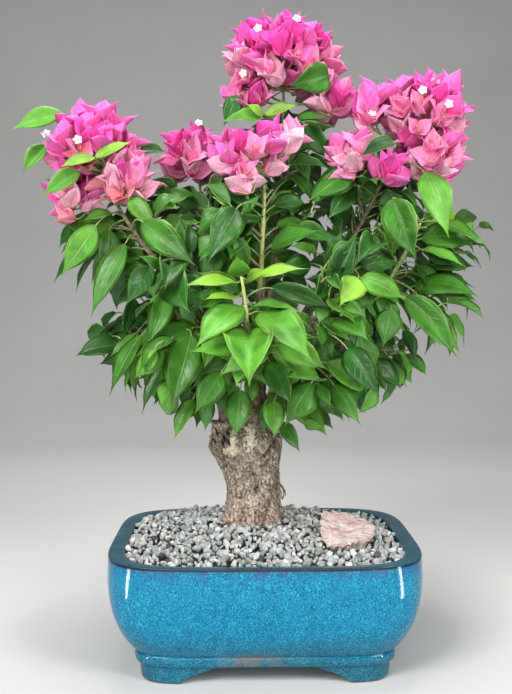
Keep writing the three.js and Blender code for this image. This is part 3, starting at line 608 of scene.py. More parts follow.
def grid_faces(rows, columns, wrap=True):
    """Triangles over a grid of points, joined round its rows where it wraps."""
    across = columns if wrap else columns - 1
    row, column = np.meshgrid(np.arange(rows - 1), np.arange(across), indexing="ij")
    after = (column + 1) % columns
    a, b = row * columns + column, row * columns + after
    c, d = (row + 1) * columns + after, (row + 1) * columns + column
    return np.concatenate([np.stack([a, b, c], -1).reshape(-1, 3), np.stack([a, c, d], -1).reshape(-1, 3)])


def closed(rows):
    """A skin over rings of points, with a fan of triangles over its first and its last ring."""
    count, size = len(rows[0]), len(rows) * len(rows[0])
    ring = np.arange(count)
    after = np.roll(ring, -1)
    end = size - count
    low = np.stack([np.full(count, size), after, ring], -1)
    high = np.stack([np.full(count, size + 1), end + ring, end + after], -1)
    points = np.concatenate([*rows, [rows[0].mean(0), rows[-1].mean(0)]])
    return points, np.concatenate([grid_faces(len(rows), count), low, high])


def tube(points, radii, sides):
    """A round tube along points, closed at its ends."""
    ways = unit(np.gradient(points, axis=0))
    side = turned(ways[0], 0.0)
    angles = around(sides)[:, None]
    rings = []
    for point, way, radius in zip(points, ways, radii):
        side = unit(side - way * (side @ way))
        rings.append(point + radius * (np.cos(angles) * side + np.sin(angles) * np.cross(way, side)))
    return closed(rings)


# Materials
def shaded(tone, factor, lift=0.0):
    """A colour made darker or lighter."""
    return tuple(min(1.0, part * factor + lift) for part in tone)


class Paint:
    """One material, whose colour and bump are patterns made by short calls."""

    def __init__(self, name, roughness, gloss=None):
        self.made = bpy.data.materials.new(name)
        self.made.use_nodes = True
        self.nodes, self.links = self.made.node_tree.nodes, self.made.node_tree.links
        self.shader = self.nodes["Principled BSDF"]
        self.shader.inputs["Roughness"].default_value = roughness
        if gloss is not None:
            self.shader.inputs["Specular IOR Level"].default_value = gloss
        self.places = {}

    def node(self, kind, inputs=None, **settings):
        made = self.nodes.new(kind)
        for key, value in settings.items():
            setattr(made, key, value)
        for key, value in (inputs or {}).items():
            socket = made.inputs[key]
            if isinstance(value, bpy.types.NodeSocket):
                self.links.new(value, socket)
            else:
                socket.default_value = (*value, 1.0) if socket.type == "RGBA" else value
        return made

    def maths(self, operation, *parts, clamp=False):
        inputs = dict(enumerate(parts))
        return self.node("ShaderNodeMath", inputs, operation=operation, use_clamp=clamp).outputs[0]

    def times(self, first, *others):
        for other in others:
            first = self.maths("MULTIPLY", first, other)
        return first

    def scaled(self, value, factor, added, clamp=False):
        """A value times a factor, with something added."""
        return self.maths("MULTIPLY_ADD", value, factor, added, clamp=clamp)

    def mix(self, factor, first, second):
        return self.node("ShaderNodeMix", {0: factor, 6: first, 7: second}, data_type="RGBA").outputs[2]

    def ramp(self, factor, stops):
        made = self.node("ShaderNodeValToRGB", {"Fac": factor})
        elements = made.color_ramp.elements
        while len(elements) < len(stops):
            elements.new(1.0)
        for element, (position, tone) in zip(elements, stops):
            element.position = position
            element.color = (*tone, 1.0)
        return made.outputs["Color"]

    def band(self, value, low, high):
        """A number that runs from 0 at low to 1 at high."""
        inputs = {"Value": value, "From Min": low, "From Max": high}
        return self.node("ShaderNodeMapRange", inputs).outputs["Result"]

    def place(self, stretch=(1, 1, 1)):
        """The place on the object, in metres, once for each stretch."""
        if stretch not in self.places:
            start = self.node("ShaderNodeTexCoord").outputs["Object"]
            made = self.node("ShaderNodeMapping", {"Vector": start, "Scale": stretch})
            self.places[stretch] = made.outputs["Vector"]
        return self.places[stretch]

    def axes(self):
        return self.node("ShaderNodeSeparateXYZ", {"Vector": self.place()}).outputs

    def spots(self, scale, detail=3.0, roughness=0.55, distortion=0.0, stretch=(1, 1, 1)):
        inputs = {"Vector": self.place(stretch), "Scale": scale, "Detail": detail, "Roughness": roughness,
                  "Distortion": distortion}
        return self.node("ShaderNodeTexNoise", inputs).outputs["Fac"]

    def stored(self, name):
        """A number that the mesh holds at its corners."""
        return self.node("ShaderNodeAttribute", attribute_name=name).outputs["Fac"]

    def blade_place(self):
        """How far a point is from a blade's midrib, and along it, both from 0 to 1."""
        place = self.node("ShaderNodeUVMap", uv_map="place").outputs["UV"]
        parts = self.node("ShaderNodeSeparateXYZ", {"Vector": place}).outputs
        return self.maths("ABSOLUTE", self.scaled(parts["X"], 2.0, -1.0)), parts["Y"]

    def side_veins(self, across, along, slant, count, start):
        wave = self.maths("SINE", self.scaled(across, -slant, self.times(along, count)))
        return self.band(wave, start, 1.0)

    def finish(self, tone, height, strength, distance):
        """The material, with its colour and a bump."""
        self.links.new(tone, self.shader.inputs["Base Color"])
        bump = self.node("ShaderNodeBump", {"Height": height, "Strength": strength, "Distance": distance})
        self.links.new(bump.outputs["Normal"], self.shader.inputs["Normal"])
        return self.made


def glaze_material():
    """Speckled blue that turns teal near the foot, violet under the rim and brown at worn edges."""
    paint = Paint("blue_glaze", 0.09, 0.28)
    axes = paint.axes()
    along, height = axes["X"], axes["Z"]
    broad = paint.spots(120, 4, 0.6, 0.6, (1, 1, 0.55))
    speckle = paint.scaled(paint.spots(900, 3, 0.6), 0.84, paint.times(broad, 0.16))
    blue = paint.ramp(speckle, [
        (0.32, (0.001, 0.065, 0.148)), (0.43, (0.001, 0.118, 0.225)), (0.5, (0.002, 0.172, 0.302)),
        (0.57, (0.004, 0.252, 0.404)), (0.68, (0.05, 0.44, 0.58)),
    ])
    teal = paint.ramp(speckle, [
        (0.32, (0.004, 0.032, 0.05)), (0.5, (0.011, 0.08, 0.112)), (0.6, (0.027, 0.13, 0.162)),
        (0.72, (0.11, 0.28, 0.31)),
    ])
    drift = paint.scaled(paint.spots(22, stretch=(1, 1, 0.4)), 1.2, 0.1, clamp=True)
    lower = paint.maths("SUBTRACT", 1.0, paint.band(height, 0.014, 0.05), clamp=True)
    tone = paint.mix(paint.times(lower, drift), blue, teal)
    streaks = paint.spots(150, 4, 0.65, stretch=(1, 1, 0.3))
    violet = paint.times(paint.band(height, 0.094, 0.1045), paint.band(streaks, 0.4, 0.62), 0.7)
    tone = paint.mix(violet, tone, (0.03, 0.06, 0.22))
    worn_edge = paint.times(paint.band(height, 0.1046, 0.1056), paint.band(broad, 0.22, 0.4))
    tone = paint.mix(worn_edge, tone, (0.035, 0.014, 0.01))
    smudge = paint.times(
        paint.band(height, 0.031, 0.024), paint.band(height, 0.012, 0.02), paint.band(along, -0.05, -0.02),
        paint.band(along, 0.022, -0.005), paint.band(broad, 0.34, 0.6), 0.8,
    )
    tone = paint.mix(smudge, tone, (0.16, 0.1, 0.07))
    bare_foot = paint.times(paint.band(height, 0.0022, 0.0008), paint.band(broad, 0.4, 0.55))
    tone = paint.mix(bare_foot, tone, (0.09, 0.06, 0.045))
    return paint.finish(tone, paint.spots(90, 2), 0.12, 0.0012)


def lip_material():
    paint = Paint("lip_glaze", 0.16, 0.2)
    tone = paint.ramp(paint.spots(700, 3, 0.6), [
        (0.34, (0.001, 0.035, 0.06)), (0.52, (0.001, 0.065, 0.105)), (0.7, (0.006, 0.13, 0.18)),
    ])
    tone = paint.mix(paint.band(paint.spots(45), 0.45, 0.75), tone, (0.002, 0.12, 0.18))
    return paint.finish(tone, paint.spots(90, 2), 0.12, 0.0012)


def grain_material(name, dark, light):
    paint = Paint(name, 0.9)
    shade = paint.scaled(paint.spots(420, 5, 0.65), 0.6, paint.times(paint.spots(95, 2), 0.4))
    tone = paint.ramp(shade, [(0.36, dark), (0.62, light)])
    return paint.finish(tone, paint.spots(900, 4, 0.6), 0.5, 0.0006)


def stone_material():
    paint = Paint("pink_stone", 0.8)
    fibres = paint.spots(420, 5, 0.7, 0.8, (0.5, 1, 1))
    tone = paint.ramp(paint.scaled(fibres, 0.6, paint.times(paint.spots(70), 0.4)), [
        (0.36, (0.38, 0.22, 0.21)), (0.45, (0.5, 0.36, 0.34)), (0.53, (0.6, 0.5, 0.46)),
        (0.62, (0.74, 0.68, 0.6)),
    ])
    # Painted shade: darker where the stone's relief sinks, in grooves and recesses
    tone = paint.mix(paint.times(paint.stored("hollow_shade"), 0.9), tone, (0.22, 0.1, 0.075))
    return paint.finish(tone, fibres, 0.4, 0.0008)


def bark_material(name, stops, fissure_and_shade, pale=None, rosy=None):
    """Mottled bark, darkened in its hollows as dark cracks and painted shade, with pale patches and a rosy
    foot on the trunk.
    """
    paint = Paint(name, 0.9, 0.25)
    broad = paint.spots(55, 4, 0.6, 0.5, (1, 1, 0.75))
    fine = paint.spots(460, 5, 0.7, 0.3, (1, 1, 0.75))
    tone = paint.ramp(paint.scaled(broad, 0.4, paint.times(fine, 0.6)), stops)
    if rosy:
        foot = paint.band(paint.axes()["Z"], 0.152, 0.122)
        blush = paint.times(foot, paint.band(broad, 0.3, 0.65), paint.band(fine, 0.3, 0.6))
        tone = paint.mix(blush, tone, rosy)
    if pale:
        tone = paint.mix(paint.times(paint.stored("pale"), paint.band(fine, 0.34, 0.47)), tone, pale)
    # Darker in the hollows: dark cracks on the trunk, and painted shade in the recesses
    return paint.finish(paint.mix(paint.stored("hollow_shade"), tone, fissure_and_shade), fine, 0.8, 0.0016)


def stem_material(name):
    paint = Paint(name, 0.6)
    dark, light = STEM_TONES[name]
    shade = paint.spots(260, 4, 0.6)
    return paint.finish(paint.ramp(shade, [(0.38, dark), (0.62, light)]), shade, 0.3, 0.0005)


def leaf_material(name, base, vein, margin, roughness):
    paint = Paint(name, roughness, 0.27)
    across, along = paint.blade_place()
    tone = paint.ramp(paint.spots(38), [(0.34, shaded(base, 0.58)), (0.5, base), (0.66, shaded(base, 1.32))])
    side = paint.times(paint.side_veins(across, along, 13.0, 44.0, 0.9), paint.band(across, 0.98, 0.6))
    midrib = paint.band(across, 0.06, 0.015)
    edge = paint.band(across, 0.9, 0.985)
    for part, share, shade in ((side, 0.18, vein), (midrib, 0.42, vein), (edge, 0.7, margin)):
        tone = paint.mix(paint.times(part, share), tone, shade)
    groove = paint.maths("ADD", paint.times(side, -0.6), paint.times(midrib, -1.0))
    return paint.finish(tone, paint.scaled(paint.spots(150), 0.8, groove), 0.35, 0.0009)


def bract_material(name, base, tip, root):
    paint = Paint(name, 0.6, 0.22)
    across, along = paint.blade_place()
    tone = paint.ramp(along, [(0.0, root), (0.16, base), (0.7, tip)])
    tone = paint.mix(paint.band(paint.spots(70), 0.32, 0.68), tone, shaded(tip, 1.25, 0.015))
    side = paint.side_veins(across, along, 10.0, 34.0, 0.86)
    veins = paint.maths("MAXIMUM", side, paint.band(across, 0.08, 0.03))
    tone = paint.mix(paint.times(veins, 0.4), tone, shaded(tip, 0.66))
    return paint.finish(tone, paint.scaled(veins, -1.0, paint.spots(240)), 0.5, 0.0008)


# Pot
def squared(angles, radius, height):
    """Points of the pot's soft rectangle, squarer towards its base."""
    rise = np.clip(height / POT_HEIGHT, 0, 1)
    power = 2 / (BASE_SQUARENESS + (RIM_SQUARENESS - BASE_SQUARENESS) * rise)
    cosine, sine = np.cos(angles), np.sin(angles)
    x = radius * np.sign(cosine) * np.abs(cosine) ** power
    y = radius * np.sign(sine) * np.abs(sine) ** power * POT_DEPTH / POT_LENGTH
    return np.stack([x, y, np.full(len(x), float(height))], -1)


def pot_angles():
    """Angles that are even along the sides of the soft rectangle."""
    order = MIDDLE_SQUARENESS
    side = np.linspace(0, 2 ** (-1 / order), POT_SIDE_POINTS + 1)
    first = np.arctan2(side ** (order / 2), (1 - side**order) ** 0.5)
    corner = np.concatenate([first, (math.pi / 2 - first[::-1])[1:-1]])
    return np.concatenate([corner + k * math.pi / 2 for k in range(4)])


def pot_profile():
    """Insets and heights from the underside, up the outside, over the lip and down the inner wall."""
    hub = POT_LENGTH / 2 - 1
    low = FOOT_HEIGHT + 1
    middle, reach = (BAND_TOP + low) / 2, (BAND_TOP - low) / 2
    band = [(BAND_INSET + 0.9 - BAND_BULGE * math.cos(a), middle + reach * math.sin(a))
            for a in np.linspace(-math.pi / 2, math.pi / 2, 13)]
    belly = Path((BAND_INSET, BAND_TOP + 0.6, 0), *[(*pull, 0) for pull in BELLY_PULLS], (0, BELLY_TOP, 0))
    outside = belly.at(np.linspace(0, 1, 34))[:, :2]
    corner = [(LIP_ROUND * (1 - math.cos(a)), POT_HEIGHT - LIP_ROUND * (1 - math.sin(a))) for a in quarter(7)]
    inner = [(LIP_WIDTH - INNER_ROUND * (1 - math.sin(a)),
              POT_HEIGHT - LIP_SLOPE - INNER_ROUND * (1 - math.cos(a))) for a in quarter(6)]
    return [(hub, FOOT_HEIGHT), (FOOT_INSET, FOOT_HEIGHT), *band, *outside, RIM_SIDE, *corner,
            (LIP_WIDTH * 0.5, POT_HEIGHT - LIP_SLOPE * 0.4), *inner, *WALL_INSETS, (hub, WALL_INSETS[-1][1])]


def arch_height(run, arch):
    """Height of the arch between two feet at a run from its middle."""
    foot, crown = arch
    (foot_run, foot_height), (crown_run, crown_height) = ARCH_PULLS
    above = FOOT_HEIGHT + FOOT_OVERLAP + 1
    pulls = (foot - foot_run, foot_height, 0), (crown + crown_run, crown_height, 0)
    curve = Path((foot, -1, 0), *pulls, (crown, above, 0)).points
    order = np.argsort(curve[:, 0])
    return np.interp(np.abs(run), curve[order, 0], curve[order, 1], left=above, right=-1)


def foot_rows(angles):
    """Rings round the feet, from their top down the outside, under the toe and up the back."""
    top = FOOT_HEIGHT + FOOT_OVERLAP
    toe, back = FOOT_INSET + 1.0, FOOT_INSET + FOOT_WIDTH
    profile = [(FOOT_INSET, top), (FOOT_INSET + 0.3, 8), (toe, FOOT_ROUND + 1.0)]
    profile += [(toe + FOOT_ROUND * (1 - math.cos(a)), FOOT_ROUND * (1 - math.sin(a))) for a in quarter(6)]
    profile += [(back - 2, 0), (back - 0.6, 0.6), (back, 2), (back, top), (FOOT_INSET, top)]
    rows = []
    for inset, height in profile:
        row = squared(angles, POT_LENGTH / 2 - inset, height)
        floor = np.maximum(arch_height(row[:, 0], FRONT_ARCH), arch_height(row[:, 1], SIDE_ARCH))
        row[:, 2] = np.minimum(np.maximum(height, np.clip(floor, 0, None) + height * 0.12), top)
        rows.append(row)
    return rows


def make_pot():
    """The body with a slight wobble, its lip in a second glaze, and the feet."""
    angles = pot_angles()
    profile = pot_profile()
    body = np.concatenate([squared(angles, POT_LENGTH / 2 - inset, height) for inset, height in profile])
    fade = ease(body[:, 2], 16, 30) * ease(POT_HEIGHT - body[:, 2], 0.0, 6.0)
    wobble = POT_WOBBLE * rough(body, (60, 60, 45), 3.0) * fade
    body = body + unit(body * LEVEL) * wobble[:, None]
    lip_row = next(k for k, (_, height) in enumerate(profile) if height > POT_HEIGHT - 0.6)
    lip = np.repeat(np.arange(len(profile) - 1) >= lip_row, len(angles))
    kinds = np.concatenate([lip, lip, np.zeros(2 * len(angles), bool)]).astype(int)
    joined = Joined()
    joined.add(*closed(body.reshape(len(profile), len(angles), 3)), kind=kinds)
    after = np.append(angles[1:], angles[0] + 2 * math.pi)
    rows = foot_rows(np.sort(np.concatenate([angles, (angles + after) / 2])))
    joined.add(np.concatenate(rows), grid_faces(len(rows), len(rows[0])))
    add_piece("pot_glazed", joined, [glaze_material(), lip_material()], ["pot"])


# Gravel and stone
def gravel_height(x, y):
    away = np.hypot(x - TRUNK_STATIONS[0, 1], y - TRUNK_Y)
    return GROUND + (GRAVEL_EDGE - GROUND) * ease(away, PAD_RADIUS, MOUND_RADIUS)


def inside_pot(x, y, inset):
    half = POT_LENGTH / 2 - LIP_WIDTH - inset
    deep = POT_DEPTH / 2 - LIP_WIDTH * POT_DEPTH / POT_LENGTH - inset
    return np.abs(x / half) ** RIM_SQUARENESS + np.abs(y / deep) ** RIM_SQUARENESS < 1


def under_stone(x, y):
    """Which places lie inside the stone's outline."""
    inside = np.zeros(len(x), bool)
    for (x0, y0), (x1, y1) in zip(STONE_OUTLINE, np.roll(STONE_OUTLINE, -1, axis=0)):
        crosses = (y0 > y) != (y1 > y)
        inside ^= crosses & (x < (x1 - x0) * (y - y0) / (y1 - y0 + 1e-9) + x0)
    return inside


def clear_of_trunk(x, y):
    foot = TRUNK_STATIONS[0]
    return np.hypot(x - foot[1], (y - TRUNK_Y) / TRUNK_DEPTH) > foot[2] - 1.5


def make_bed():
    """The bed under the grains, near black: painted shade in the gaps between them."""
    angles = pot_angles()[::2]
    inset, base = BED_SKIRT
    rows = [squared(angles, POT_LENGTH / 2 - inset, base)]
    for ring in np.linspace(1, 0.02, BED_RINGS):
        row = squared(angles, ring * (POT_LENGTH / 2 - LIP_WIDTH - 0.6), POT_HEIGHT - 4.0)
        row[:, 2] = gravel_height(row[:, 0], row[:, 1]) - BED_DROP
        rows.append(row)
    bed = Joined()
    bed.add(*closed(rows))
    add_piece("gravel_bed", bed, [grain_material("gravel_gap_shade", *BED_SHADE_TONES)], ["gravel"])


def grain_shapes(random):
    """Angular grains: balls cut by random flats."""
    ball = bmesh.new()
    bmesh.ops.create_icosphere(ball, subdivisions=2, radius=1.0)
    ball.verts.index_update()
    points = np.array([corner.co for corner in ball.verts])
    faces = np.array([[corner.index for corner in face.verts] for face in ball.faces])
    ball.free()
    shapes = []
    for _ in range(GRAIN_KINDS):
        flats = unit(random.normal(size=(GRAIN_FLATS, 3)))
        depths = random.uniform(*FLAT_DEPTHS, GRAIN_FLATS)
        facing = points @ flats.T
        limit = np.where(facing > 0.05, depths / np.maximum(facing, 0.05), 9.0).min(1)
        shapes.append(points * np.minimum(limit, 1.15)[:, None])
    return shapes, faces


def spins(random, count):
    """Random rotation matrices."""
    w, x, y, z = unit(random.normal(size=(count, 4))).T
    return np.stack([
        np.stack([1 - 2 * (y * y + z * z), 2 * (x * y - z * w), 2 * (x * z + y * w)], -1),
        np.stack([2 * (x * y + z * w), 1 - 2 * (x * x + z * z), 2 * (y * z - x * w)], -1),
        np.stack([2 * (x * z - y * w), 2 * (y * z + x * w), 1 - 2 * (x * x + y * y)], -1),
    ], 1)


def make_grains():
    """Two layers of loose grains, the lower one mostly dark as painted shade in the gaps, with one piece for
    each tone.
    """
    random = np.random.default_rng(GRAVEL_SEED)
    shapes, faces = grain_shapes(random)
    names = list(GRAVEL_TONES)
    shares = np.cumsum([share for _, _, share in GRAVEL_TONES.values()])
    piles = [Joined() for _ in names]
    columns = np.arange(-POT_LENGTH / 2, POT_LENGTH / 2, GRAIN_PITCH)
    lines = np.arange(-POT_DEPTH / 2, POT_DEPTH / 2, GRAIN_PITCH)
    for layer, sink in enumerate(GRAIN_LAYERS):
        x, y = np.meshgrid(columns, lines)
        x = x + (np.arange(len(lines)) % 2)[:, None] * GRAIN_PITCH / 2 + layer * GRAIN_PITCH / 3
        x = x.ravel() + random.uniform(-GRAIN_SHIFT, GRAIN_SHIFT, x.size)
        y = y.ravel() + random.uniform(-GRAIN_SHIFT, GRAIN_SHIFT, y.size) + layer * GRAIN_PITCH / 3
        size = random.uniform(*GRAIN_SIZES, x.size) / 2
        keep = inside_pot(x, y, 1.6) & clear_of_trunk(x, y) & ~under_stone(x, y)
        x, y, size = x[keep], y[keep], size[keep]
        z = gravel_height(x, y) + sink + random.uniform(-GRAIN_LIFT, GRAIN_LIFT, len(x))
        turns = spins(random, len(x))
        stretch = random.uniform(*GRAIN_STRETCH, (len(x), 3))
        kind = random.integers(0, GRAIN_KINDS, len(x))
        tone = np.searchsorted(shares, random.random(len(x)) * shares[-1])
        # Most lower grains take the dark tone: painted shade in the gaps between the upper grains
        if layer == 0:
            tone = np.where(random.random(len(x)) < GAP_SHADE_SHARE, names.index("dark"), tone)
        for k in range(len(x)):
            grain = (shapes[kind[k]] * stretch[k] * size[k]) @ turns[k].T + (x[k], y[k], z[k])
            piles[tone[k]].add(grain, faces)
    for pile, (name, (dark, light, _)) in zip(piles, GRAVEL_TONES.items()):
        material = grain_material(f"gravel_{name}", dark, light)
        add_piece(f"gravel_{name}", pile, [material], ["gravel"], smooth=False)


def stone_rim():
    """Places evenly round the stone's outline, with small teeth."""
    corners = np.vstack([STONE_OUTLINE, STONE_OUTLINE[:1]])
    run = np.concatenate(([0.0], np.cumsum(np.linalg.norm(np.diff(corners, axis=0), axis=1))))
    share = np.linspace(0, run[-1], STONE_COLUMNS, endpoint=False)
    rim = np.stack([np.interp(share, run, corners[:, k]) for k in range(2)], -1)
    teeth = rough(np.column_stack([rim, np.zeros(STONE_COLUMNS)]), 3.2, 6.0)
    return rim + unit(rim - rim.mean(0)) * (2.4 * teeth)[:, None]


def stone_slab():
    """Points of the plain slab, over its sloping upper face and down its wall, and which are wall."""
    rim = stone_rim()
    centre = rim.mean(0)
    front, low = STONE_FRONT
    rows = []
    for ring in np.linspace(0.02, 1, STONE_RINGS):
        place = centre + (rim - centre) * ring
        rows.append(np.column_stack([place, low + STONE_SLOPE * (place[:, 1] - front) - 1.6 * ring**14]))
    edge = np.maximum(rows[-1][:, 2], STONE_BASE + 2)
    for share in np.linspace(0.1, 1, STONE_WALL_ROWS):
        place = centre + (rim - centre) * (1 - STONE_UNDERCUT * share**0.8)
        rows.append(np.column_stack([place, edge + (STONE_BASE - edge) * share]))
    wall = np.repeat(np.arange(len(rows)) >= STONE_RINGS, STONE_COLUMNS)
    return np.concatenate(rows), wall, centre


def make_stone():
    """A slab with a sloping upper face, split into curved fibres with painted shade in the grooves, whose
    foot is sunk in the gravel.
    """
    points, wall, centre = stone_slab()
    level = np.zeros(len(points))
    lows, highs = STONE_OUTLINE.min(0), STONE_OUTLINE.max(0)
    right, up = np.clip((points[:, :2] - lows) / (highs - lows), 0, 1).T
    steepest, fade = STONE_FIBRES
    strand = points[:, 1] + up * steepest * (highs[0] - lows[0]) * (1 - (1 - right) ** fade) / fade
    broad = rough(np.column_stack([strand / 2.8, points[:, 0] / 17, level]), 1.0, 4.0)
    fine = rough(np.column_stack([strand / 1.3, points[:, 0] / 7, level]), 1.0, 8.0)
    lumps = rough(points, 9.0, 2.0)
    split = rough(points, (2.6, 2.6, 7.0), 15.0)
    outward = unit(np.column_stack([points[:, :2] - centre, level]))
    relief = np.where(wall, 0.9 * split + 0.4 * lumps, 1.9 * broad + 1.2 * fine + 1.0 * lumps)
    points = points + np.where(wall[:, None], outward, UP) * relief[:, None]
    # Painted shade: how far the relief sinks, in the grooves between fibres and the wall's recesses
    hollow_shade = np.clip(np.where(wall, -split, -1.5 * broad - 1.1 * fine), 0, 1)
    hubs = [hollow_shade[:STONE_COLUMNS].mean(), hollow_shade[-STONE_COLUMNS:].mean()]
    joined = Joined()
    joined.add(*closed(points.reshape(-1, STONE_COLUMNS, 3)))
    values = {"hollow_shade": np.append(hollow_shade, hubs)}
    add_piece("pink_stone", joined, [stone_material()], ["stone"], values=values)


# Trunk and boughs
def tapered(radii, share):
    """A limb's radius at shares of its length."""
    return radii[0] + (radii[1] - radii[0]) * share**LIMB_TAPER


def trunk_column():
    """The trunk without its arms, with a dome over its last station."""
    crown = TRUNK_STATIONS[-1, 0]
    angles = around(120)
    rows = []
    for height in [*np.linspace(-4, crown, 66), *(crown + TRUNK_DOME * np.sin(quarter(12)[1:]))]:
        x, half = [np.interp(height, TRUNK_STATIONS[:, 0], TRUNK_STATIONS[:, k]) for k in (1, 2)]
        half = half * math.sqrt(max(1e-4, 1 - (max(0.0, height - crown) / TRUNK_DOME) ** 2))
        flutes = 0.035 * np.sin(3 * angles + height / 20) + 0.03 * np.sin(5 * angles - height / 9)
        radius = half * (1 + flutes)
        y = TRUNK_Y + radius * TRUNK_DEPTH * np.cos(angles)
        rows.append(np.stack([x - radius * np.sin(angles), y, np.full(len(angles), GROUND + height)], -1))
    return closed(rows)


def fused(joined):
    """The joined closed shapes as one even skin: its points, normals and triangles."""
    data = bpy.data.meshes.new("fusing")
    data.from_pydata(np.concatenate(joined.points).tolist(), [], np.concatenate(joined.faces).tolist())
    body = bpy.data.objects.new("fusing", data)
    bpy.context.scene.collection.objects.link(body)
    skin = body.modifiers.new("skin", "REMESH")
    skin.mode = "VOXEL"
    skin.voxel_size = TRUNK_VOXEL
    body.modifiers.new("soften", "SMOOTH").iterations = TRUNK_SMOOTHING
    shaped = body.evaluated_get(bpy.context.evaluated_depsgraph_get())
    made = shaped.to_mesh()
    made.calc_loop_triangles()
    points, normals = np.zeros(len(made.vertices) * 3), np.zeros(len(made.vertices) * 3)
    faces = np.zeros(len(made.loop_triangles) * 3, np.int32)
    made.vertices.foreach_get("co", points)
    made.vertex_normals.foreach_get("vector", normals)
    made.loop_triangles.foreach_get("vertices", faces)
    shaped.to_mesh_clear()
    bpy.data.objects.remove(body)
    bpy.data.meshes.remove(data)
    return points.reshape(-1, 3), normals.reshape(-1, 3), faces.reshape(-1, 3)


def make_trunk():
    """One skin of bark over trunk and arms, with cracks, a scar, pale patches and a grooved stub, darker in
    its hollows as dark bark and painted shade.
    """
    joined = Joined()
    joined.add(*trunk_column())
    for start, end, radii in ARMS.values():
        joined.add(*Path(start, end).rod(tapered(radii, np.linspace(0, 1, 26)), 40))
    points, normals, faces = fused(joined)
    x, y, z = points.T
    cracks = 1 - np.clip(np.abs(rough(points, (8, 8, 16), 1.0)) * 9.0, 0, 1)
    cracks = cracks * ease(rough(points, (14, 14, 18), 21.0), -0.05, 0.4)
    lumps = rough(points, (13, 13, 15), 5.0)
    grain = rough(points, (2.6, 2.6, 4.0), 9.0)
    pits = rough(points, 1.6, 13.0)
    grooves = rough(points + np.outer(z, (0.45, 0, 0)), (2.7, 3.4, 18), 17.0)
    front = ease(TRUNK_Y - y, 0, 6)
    scar = front * np.exp(-((line_gap(points[:, [0, 2]], *SCAR) / 1.4) ** 2))
    stub = ease(-x, 24, 33) * ease(z, 184, 196)
    foot = ease(-z, -142, -120)
    pale = sum(
        np.exp(-((x - px) / wide) ** 2 - ((z - pz) / tall) ** 2) for (px, pz), (wide, tall) in PALE_PATCHES
    )
    pale = np.clip(2.2 * pale * front + (1.1 * grain + 0.7 * pits) * ease(pale, 0.02, 0.3) - 0.45, 0, 1)
    relief = 1.4 * lumps - 1.2 * cracks + (1.0 + 0.8 * foot) * grain + 0.8 * pits - 1.6 * scar
    relief = relief * (1 - 0.5 * stub) + stub * 3.2 * grooves
    pitted = np.clip(-grain, 0, 1) + np.clip(-pits, 0, 1)
    # Darker in cracks, pits, the scar and the stub's grooves: partly dark bark, partly painted shade
    hollow_shade = 0.75 * cracks + (0.8 + 0.5 * foot) * pitted + 0.55 * scar
    hollow_shade = np.clip(hollow_shade * (1 - stub) + stub * np.clip(-grooves * 4.6, 0, 1), 0, 0.95) * (1 - 0.85 * pale)
    shaped = Joined()
    shaped.add(points + normals * relief[:, None], faces)
    bark = bark_material("bark", BARK_STOPS, BARK_FISSURE_AND_SHADE, BARK_PALE, BARK_ROSY)
    add_piece("trunk_bark", shaped, [bark], ["trunk"], values={"hollow_shade": hollow_shade, "pale": pale})


def make_rootlets():
    """Thin roots from the foot of the trunk into the gravel, and loose fibres of bark above them."""
    joined = Joined()
    share = np.linspace(0, 1, 14)
    for row, radius in [(row, ROOTLET_RADIUS) for row in ROOTLETS] + [(row, FLAKE_RADIUS) for row in FLAKES]:
        path = Path(np.add(row[0], (-7, 7, 0)), *row)
        knots = 1 + 0.25 * np.sin(share * 21 + row[0][0])
        joined.add(*path.rod(radius * knots * (1.1 - 0.5 * share), 7))
    add_piece("rootlets", joined, [stem_material("root_fibre")], ["trunk"])


def stem_path(name):
    """The stem of a shoot, from its bough's tip to its own end."""
    start, end = np.array(SHOOTS[name][2:], float)
    return Path(start, (start + end) / 2 + (end - start) * LEVEL * STEM_BOW, end)


def head_stem(name):
    """The stem of a head of blossom, from the end of its shoot's stem to its middle."""
    shoot, middle = HEADS[name]
    stem = stem_path(shoot)
    start = stem.at(1.0)
    return Path(start, start + stem.way(1.0) * HEAD_BEND * np.linalg.norm(middle - start), middle)


def bough_paths():
    """Arms and boughs by name, each bough easing out of its parent and into its shoot's stem."""
    paths = {name: Path(start, end) for name, (start, end, _) in ARMS.items()}
    lean, leaving_share, arriving_share = BOUGH_EASE
    for name, (parent, at, tip, _) in SHOOTS.items():
        start = paths[parent].at(at)
        length = np.linalg.norm(tip - start)
        leaving = blend((paths[parent].way(at), lean), ((tip - start) / length, 1)) * length * leaving_share
        arriving = stem_path(name).way(0) * length * arriving_share
        paths[name] = Path(start, start + leaving, tip - arriving, tip)
    return paths


def make_boughs(paths):
    joined, hollow_shades = Joined(), []
    for index, (name, (parent, *_)) in enumerate(SHOOTS.items()):
        path = paths[name]
        share = np.linspace(0, 1, max(24, int(path.length / 2.2)))
        thick = BOUGH_RADII[0] * (1 if parent in ARMS else SIDE_BOUGH_SHARE)
        knots = np.sin(share * path.length / 15 + index) ** 12
        collar = 1 + 0.3 * np.exp(-share * 14)
        radius = tapered((thick, BOUGH_RADII[1]), share) * collar * (1 + 0.12 * knots)
        points, faces = path.rod(radius, BOUGH_SIDES)
        centre = np.concatenate([np.repeat(path.at(share), BOUGH_SIDES, axis=0), points[-2:]])
        relief = 0.5 * rough(points, (4, 4, 9), index) + 0.3 * rough(points, 1.8, index + 40)
        # Painted shade in the bark's recesses, where the relief sinks
        hollow_shades.append(np.clip(-relief * 1.3, 0, 1))
        joined.add(points + unit(points - centre) * relief[:, None], faces)
    nodes = [f"bough_{name}" for name in SHOOTS]
    bark = bark_material("young_bark", YOUNG_BARK_STOPS, YOUNG_BARK_SHADE)
    add_piece("bough_bark", joined, [bark], nodes, values={"hollow_shade": np.concatenate(hollow_shades)})


